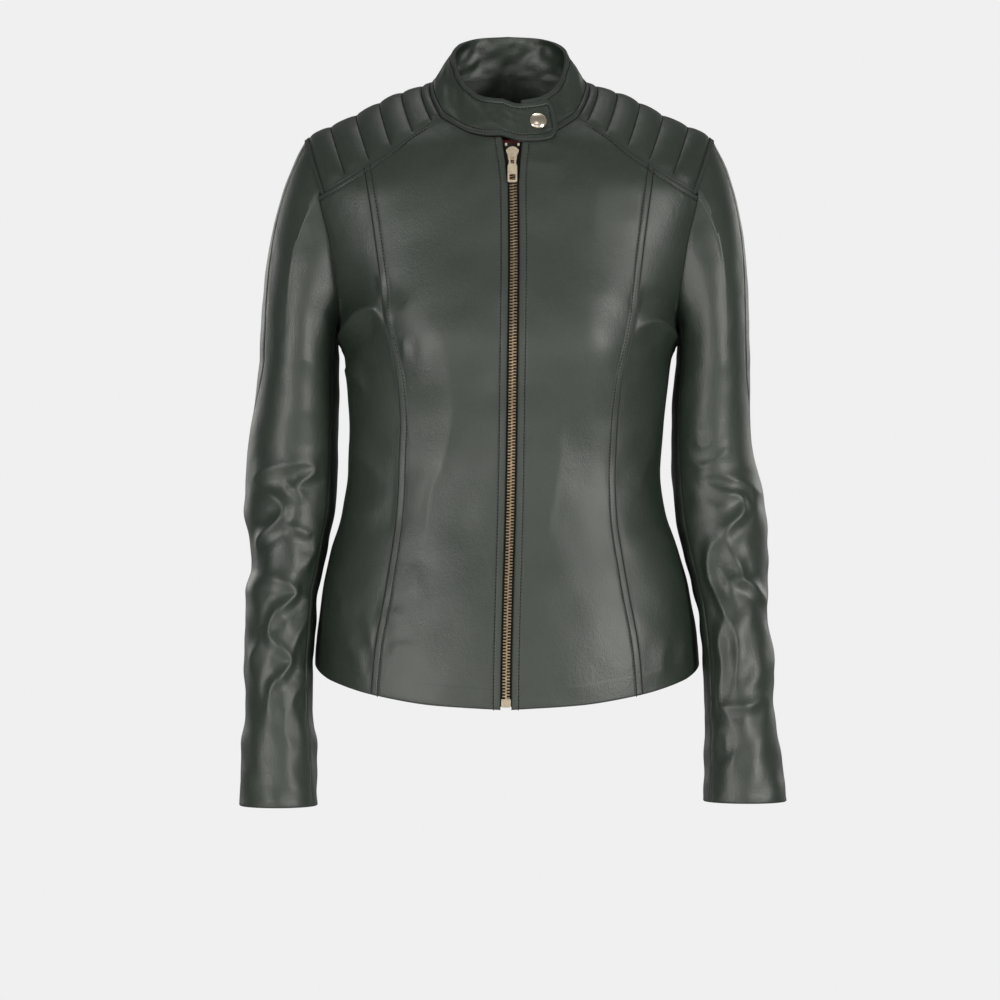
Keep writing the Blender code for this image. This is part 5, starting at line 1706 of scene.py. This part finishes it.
@dataclass(frozen=True)
class LeatherFinish:
    """Soft semi-gloss dyed leather with a fine grain, and painted shade along its seams and stitch grooves.
    """

    dark: tuple[float, float, float] = (0.010, 0.016, 0.011)
    light: tuple[float, float, float] = (0.018, 0.026, 0.019)
    # painted shade: the colour that seams and stitch grooves are darkened towards
    seam: tuple[float, float, float] = (0.003, 0.004, 0.003)
    roughness: tuple[float, float] = (0.42, 0.53)
    grain: float = 950.0
    pebble: float = 420.0
    wrinkle: float = 85.0

    def build(self) -> bpy.types.Material:
        """Makes the leather's material."""
        look = NodeLook("bottle_green_leather")
        place = look.add("ShaderNodeTexCoord").outputs["Object"]
        broad = look.noise(place, 11.0, 3.0)
        mottle = look.noise(place, 240.0, 4.0)
        # painted shade: the seam attribute darkens the colour along edges and stitch grooves, and also makes
        # them rougher
        seam = look.add("ShaderNodeAttribute")
        seam.attribute_name = "seam"
        tone = look.math("ADD", look.math("MULTIPLY", broad, 0.6), look.math("MULTIPLY", mottle, 0.4))
        colour = look.ramp(tone, ((0.3, self.dark), (0.7, self.light)))
        # painted shade: the leather colour mixed towards the dark seam colour where the seam attribute is
        # high
        wear_and_seam_shade = look.mix(colour, (*self.seam, 1), look.math("MULTIPLY", seam.outputs["Fac"], 0.75))
        look.set("Base Color", wear_and_seam_shade)
        limits = (
            ("From Min", 0.3),
            ("From Max", 0.7),
            ("To Min", self.roughness[0]),
            ("To Max", self.roughness[1]),
        )
        spread = look.add("ShaderNodeMapRange", limits)
        look.link(tone, spread.inputs["Value"])
        rougher_near_seams = look.math("MULTIPLY", seam.outputs["Fac"], 0.22)
        look.set("Roughness", look.math("ADD", spread.outputs["Result"], rougher_near_seams))
        pores = look.add("ShaderNodeTexVoronoi", (("Scale", self.grain),))
        look.link(place, pores.inputs["Vector"])
        fine = look.math("MULTIPLY", pores.outputs["Distance"], 0.28)
        pebbles = look.math("MULTIPLY", look.noise(place, self.pebble, 3.0), 0.36)
        wrinkles = look.math("MULTIPLY", look.noise(place, self.wrinkle, 4.0), 0.75)
        look.bump(look.math("ADD", look.math("ADD", fine, pebbles), wrinkles), 0.36, 0.0011)
        look.shader.inputs["Specular IOR Level"].default_value = 0.62
        return look.material


@dataclass(frozen=True)
class ClothFinish:
    """A plain woven cloth in two threads."""

    name: str
    warp: tuple[float, float, float]
    weft: tuple[float, float, float]
    scale: float = 1500.0
    roughness: float = 0.75
    shine: float = 0.2

    def build(self) -> bpy.types.Material:
        """Makes the cloth's material."""
        look = NodeLook(self.name)
        place = look.add("ShaderNodeTexCoord").outputs["Object"]
        values = (("Scale", self.scale / 6), ("Distortion", 0.6), ("Detail", 1.0))
        weave = look.add("ShaderNodeTexWave", values)
        weave.bands_direction = "DIAGONAL"
        look.link(place, weave.inputs["Vector"])
        look.set("Base Color", look.ramp(weave.outputs["Fac"], ((0.3, self.warp), (0.7, self.weft))))
        look.shader.inputs["Roughness"].default_value = self.roughness
        look.shader.inputs["Specular IOR Level"].default_value = self.shine
        look.bump(weave.outputs["Fac"], 0.3, 0.0002)
        return look.material


@dataclass(frozen=True)
class MetalFinish:
    """Plated metal, a little dull where it is handled less."""

    name: str
    bright: tuple[float, float, float]
    dull: tuple[float, float, float]
    roughness: tuple[float, float]

    def build(self) -> bpy.types.Material:
        """Makes the metal's material."""
        look = NodeLook(self.name)
        place = look.add("ShaderNodeTexCoord").outputs["Object"]
        patina = look.noise(place, 420.0, 4.0)
        look.set("Base Color", look.ramp(patina, ((0.35, self.dull), (0.62, self.bright))))
        limits = (("To Min", self.roughness[0]), ("To Max", self.roughness[1]))
        spread = look.add("ShaderNodeMapRange", limits)
        look.link(patina, spread.inputs["Value"])
        look.set("Roughness", spread.outputs["Result"])
        look.shader.inputs["Metallic"].default_value = 1.0
        return look.material


class NodeLook:
    """A material's nodes, with short ways to add the usual ones."""

    def __init__(self, name: str) -> None:
        """Starts a material with its one shader."""
        self.material = bpy.data.materials.new(name)
        self.material.use_nodes = True
        self.tree = self.material.node_tree
        self.shader = self.tree.nodes["Principled BSDF"]

    def add(self, kind: str, values: Sequence[tuple[str, float]] = ()) -> bpy.types.Node:
        """Adds a node and sets its inputs."""
        node = self.tree.nodes.new(kind)
        for name, value in values:
            node.inputs[name].default_value = value
        return node

    def link(self, output: bpy.types.NodeSocket, target: bpy.types.NodeSocket) -> None:
        """Joins two sockets."""
        self.tree.links.new(output, target)

    def set(self, name: str, output: bpy.types.NodeSocket) -> None:
        """Feeds one of the shader's inputs."""
        self.link(output, self.shader.inputs[name])

    def noise(self, place: bpy.types.NodeSocket, scale: float, detail: float) -> bpy.types.NodeSocket:
        """A noise value from 0 to 1."""
        node = self.add("ShaderNodeTexNoise", (("Scale", scale), ("Detail", detail)))
        self.link(place, node.inputs["Vector"])
        return node.outputs["Fac"]

    def math(
        self,
        operation: str,
        first: bpy.types.NodeSocket,
        second: bpy.types.NodeSocket | float,
    ) -> bpy.types.NodeSocket:
        """A sum or a product of two values."""
        node = self.add("ShaderNodeMath")
        node.operation = operation
        self.link(first, node.inputs[0])
        if isinstance(second, float):
            node.inputs[1].default_value = second
        else:
            self.link(second, node.inputs[1])
        return node.outputs["Value"]

    def mix(
        self,
        first: bpy.types.NodeSocket,
        second: tuple[float, ...],
        amount: bpy.types.NodeSocket,
    ) -> bpy.types.NodeSocket:
        """A colour blended into another."""
        node = self.add("ShaderNodeMix")
        node.data_type = "RGBA"
        colours = [socket for socket in node.inputs if socket.type == "RGBA"]
        self.link(first, colours[0])
        colours[1].default_value = second
        self.link(amount, node.inputs["Factor"])
        return next(socket for socket in node.outputs if socket.type == "RGBA")

    def ramp(
        self,
        value: bpy.types.NodeSocket,
        stops: Sequence[tuple[float, tuple[float, float, float]]],
    ) -> bpy.types.NodeSocket:
        """Colours spread over a value."""
        node = self.add("ShaderNodeValToRGB")
        for element, (at, colour) in zip(node.color_ramp.elements, stops):
            element.position = at
            element.color = (*colour, 1)
        self.link(value, node.inputs["Fac"])
        return node.outputs["Color"]

    def bump(self, height: bpy.types.NodeSocket, strength: float, distance: float) -> None:
        """Feeds the shader's normal from a height."""
        node = self.add("ShaderNodeBump", (("Strength", strength), ("Distance", distance)))
        self.link(height, node.inputs["Height"])
        self.set("Normal", node.outputs["Normal"])


@dataclass
class Studio:
    """A pale floor, soft lights and the camera at the photograph's angle."""

    pale: float = 0.87
    ambient: float = 0.22
    camera_at: tuple[float, float, float] = (-0.0074, -4.0, -0.3772)
    lens: float = 156.5
    tint: tuple[float, float, float] = (1.0, 0.99, 0.95)
    floor_z: float = -1.85
    floor_reach: float = 2.4

    def build(self) -> None:
        """Sets up the whole studio."""
        self.build_world()
        self.build_floor()
        self.light("key_softbox", (-2.0, -2.7, -0.30), (1.5, 2.3), 96)
        self.light("fill_softbox", (2.25, -2.25, 0.0), (1.0, 1.1), 104)
        self.light("front_softbox", (0.0, -5.2, -0.8), (5.4, 3.4), 80)
        self.light("high_softbox", (0.3, -2.9, 1.6), (1.8, 0.9), 7)
        self.light("top_softbox", (0.0, 0.4, 2.0), (1.8, 1.4), 14)
        self.light("back_softbox_right", (-2.3, 2.9, 0.4), (2.4, 2.4), 32)
        self.light("back_softbox_left", (2.3, 2.9, 0.4), (2.4, 2.4), 32)
        camera = bpy.data.cameras.new("camera")
        camera.lens = self.lens
        camera.sensor_width = 36.0
        holder = placed("camera", camera)
        holder.location = self.camera_at
        holder.rotation_euler = (math.radians(90), 0, 0)
        bpy.context.scene.camera = holder
        bpy.context.scene.view_settings.view_transform = "Standard"

    def build_world(self) -> None:
        """A pale surround, seen brighter than it lights."""
        world = bpy.data.worlds.new("pale_studio")
        bpy.context.scene.world = world
        world.use_nodes = True
        tree = world.node_tree
        seen = tree.nodes["Background"]
        seen.inputs["Color"].default_value = (self.pale, self.pale, self.pale, 1)
        lit = tree.nodes.new("ShaderNodeBackground")
        lit.inputs["Color"].default_value = (self.ambient, self.ambient, self.ambient, 1)
        rays, mix = tree.nodes.new("ShaderNodeLightPath"), tree.nodes.new("ShaderNodeMixShader")
        tree.links.new(rays.outputs["Is Camera Ray"], mix.inputs["Fac"])
        tree.links.new(lit.outputs["Background"], mix.inputs[1])
        tree.links.new(seen.outputs["Background"], mix.inputs[2])
        tree.links.new(mix.outputs["Shader"], tree.nodes["World Output"].inputs["Surface"])

    def build_floor(self) -> None:
        """A pale floor below the hanging jacket."""
        look = NodeLook("pale_floor")
        place = look.add("ShaderNodeTexCoord").outputs["Object"]
        stops = ((0.3, (0.78,) * 3), (0.7, (0.8,) * 3))
        look.set("Base Color", look.ramp(look.noise(place, 3.0, 2.0), stops))
        look.shader.inputs["Roughness"].default_value = 0.8
        mesh = bpy.data.meshes.new("floor")
        turns = ((-1, -1), (1, -1), (1, 1), (-1, 1))
        corners = [(x * self.floor_reach, y * self.floor_reach, self.floor_z) for x, y in turns]
        mesh.from_pydata(corners, [], [(0, 1, 2, 3)])
        mesh.materials.append(look.material)
        floor = placed("floor", mesh)

    def light(
        self,
        name: str,
        place: tuple[float, float, float],
        size: tuple[float, float],
        power: float,
    ) -> None:
        """A soft area light that faces the jacket."""
        lamp = bpy.data.lights.new(name, "AREA")
        lamp.shape = "ELLIPSE"
        lamp.size, lamp.size_y = size
        lamp.energy = power
        lamp.color = self.tint
        self.soften(lamp)
        holder = placed(name, lamp)
        holder.location = place
        target = Vector((0, 0, -0.3)) - Vector(place)
        holder.rotation_euler = target.to_track_quat("-Z", "Y").to_euler()

    def soften(self, lamp: bpy.types.Light) -> None:
        """Lets a softbox fade from its middle to its rim."""
        lamp.use_nodes = True
        tree = lamp.node_tree
        shape, away = tree.nodes.new("ShaderNodeNewGeometry"), tree.nodes.new("ShaderNodeVectorMath")
        away.operation = "DISTANCE"
        away.inputs[1].default_value = (0.5, 0.5, 0.0)
        fade = tree.nodes.new("ShaderNodeMapRange")
        fade.interpolation_type = "SMOOTHSTEP"
        for name, value in (("From Min", 0.5), ("From Max", 0.1), ("To Min", 0.0), ("To Max", 1.6)):
            fade.inputs[name].default_value = value
        tree.links.new(shape.outputs["Parametric"], away.inputs[0])
        tree.links.new(away.outputs["Value"], fade.inputs["Value"])
        tree.links.new(fade.outputs["Result"], tree.nodes["Emission"].inputs["Strength"])


def dress() -> Dressed:
    """Makes every material."""
    return Dressed(
        leather=LeatherFinish().build(),
        lining=ClothFinish("maroon_lining", (0.030, 0.004, 0.006), (0.055, 0.008, 0.010)).build(),
        thread=ClothFinish(
            "green_thread", (0.005, 0.006, 0.005), (0.010, 0.012, 0.011), 3000, 0.7, 0.08
        ).build(),
        tape=ClothFinish("dark_tape", (0.006, 0.007, 0.006), (0.016, 0.018, 0.015), 2400, 0.8).build(),
        metal=MetalFinish("pale_brass", (0.68, 0.58, 0.45), (0.55, 0.46, 0.34), (0.38, 0.46)).build(),
        # painted shade: a darker copy of the pale brass for the zip box
        worn_metal=MetalFinish(
            "worn_brass", (0.40, 0.345, 0.265), (0.30, 0.255, 0.19), (0.46, 0.56)
        ).build(),
        cap=MetalFinish("bright_cap", (0.80, 0.71, 0.58), (0.72, 0.62, 0.49), (0.20, 0.26)).build(),
        teeth=MetalFinish("antique_teeth", (0.38, 0.285, 0.185), (0.24, 0.175, 0.11), (0.38, 0.50)).build(),
    )


def main() -> None:
    """Builds the jacket's looks in order."""
    logging.basicConfig(level=logging.INFO, format="%(name)s: %(message)s")
    for leftover in [o for o in bpy.data.objects if o.type in ("CAMERA", "LIGHT")]:
        bpy.data.objects.remove(leftover)
    dressed = dress()
    sewing = Stitching()
    for side in Side:
        BodyPanels().build(side, dressed, sewing)
        SHOULDERS.build(side, dressed, sewing)
        Sleeve(side).build(dressed, sewing)
    COLLAR.build(dressed, sewing)
    SnapCap().build(dressed)
    Zip().build(dressed)
    dress_metal(dressed)
    sewing.build(dressed.thread)
    Studio().build()


if __name__ == "__main__":
    main()
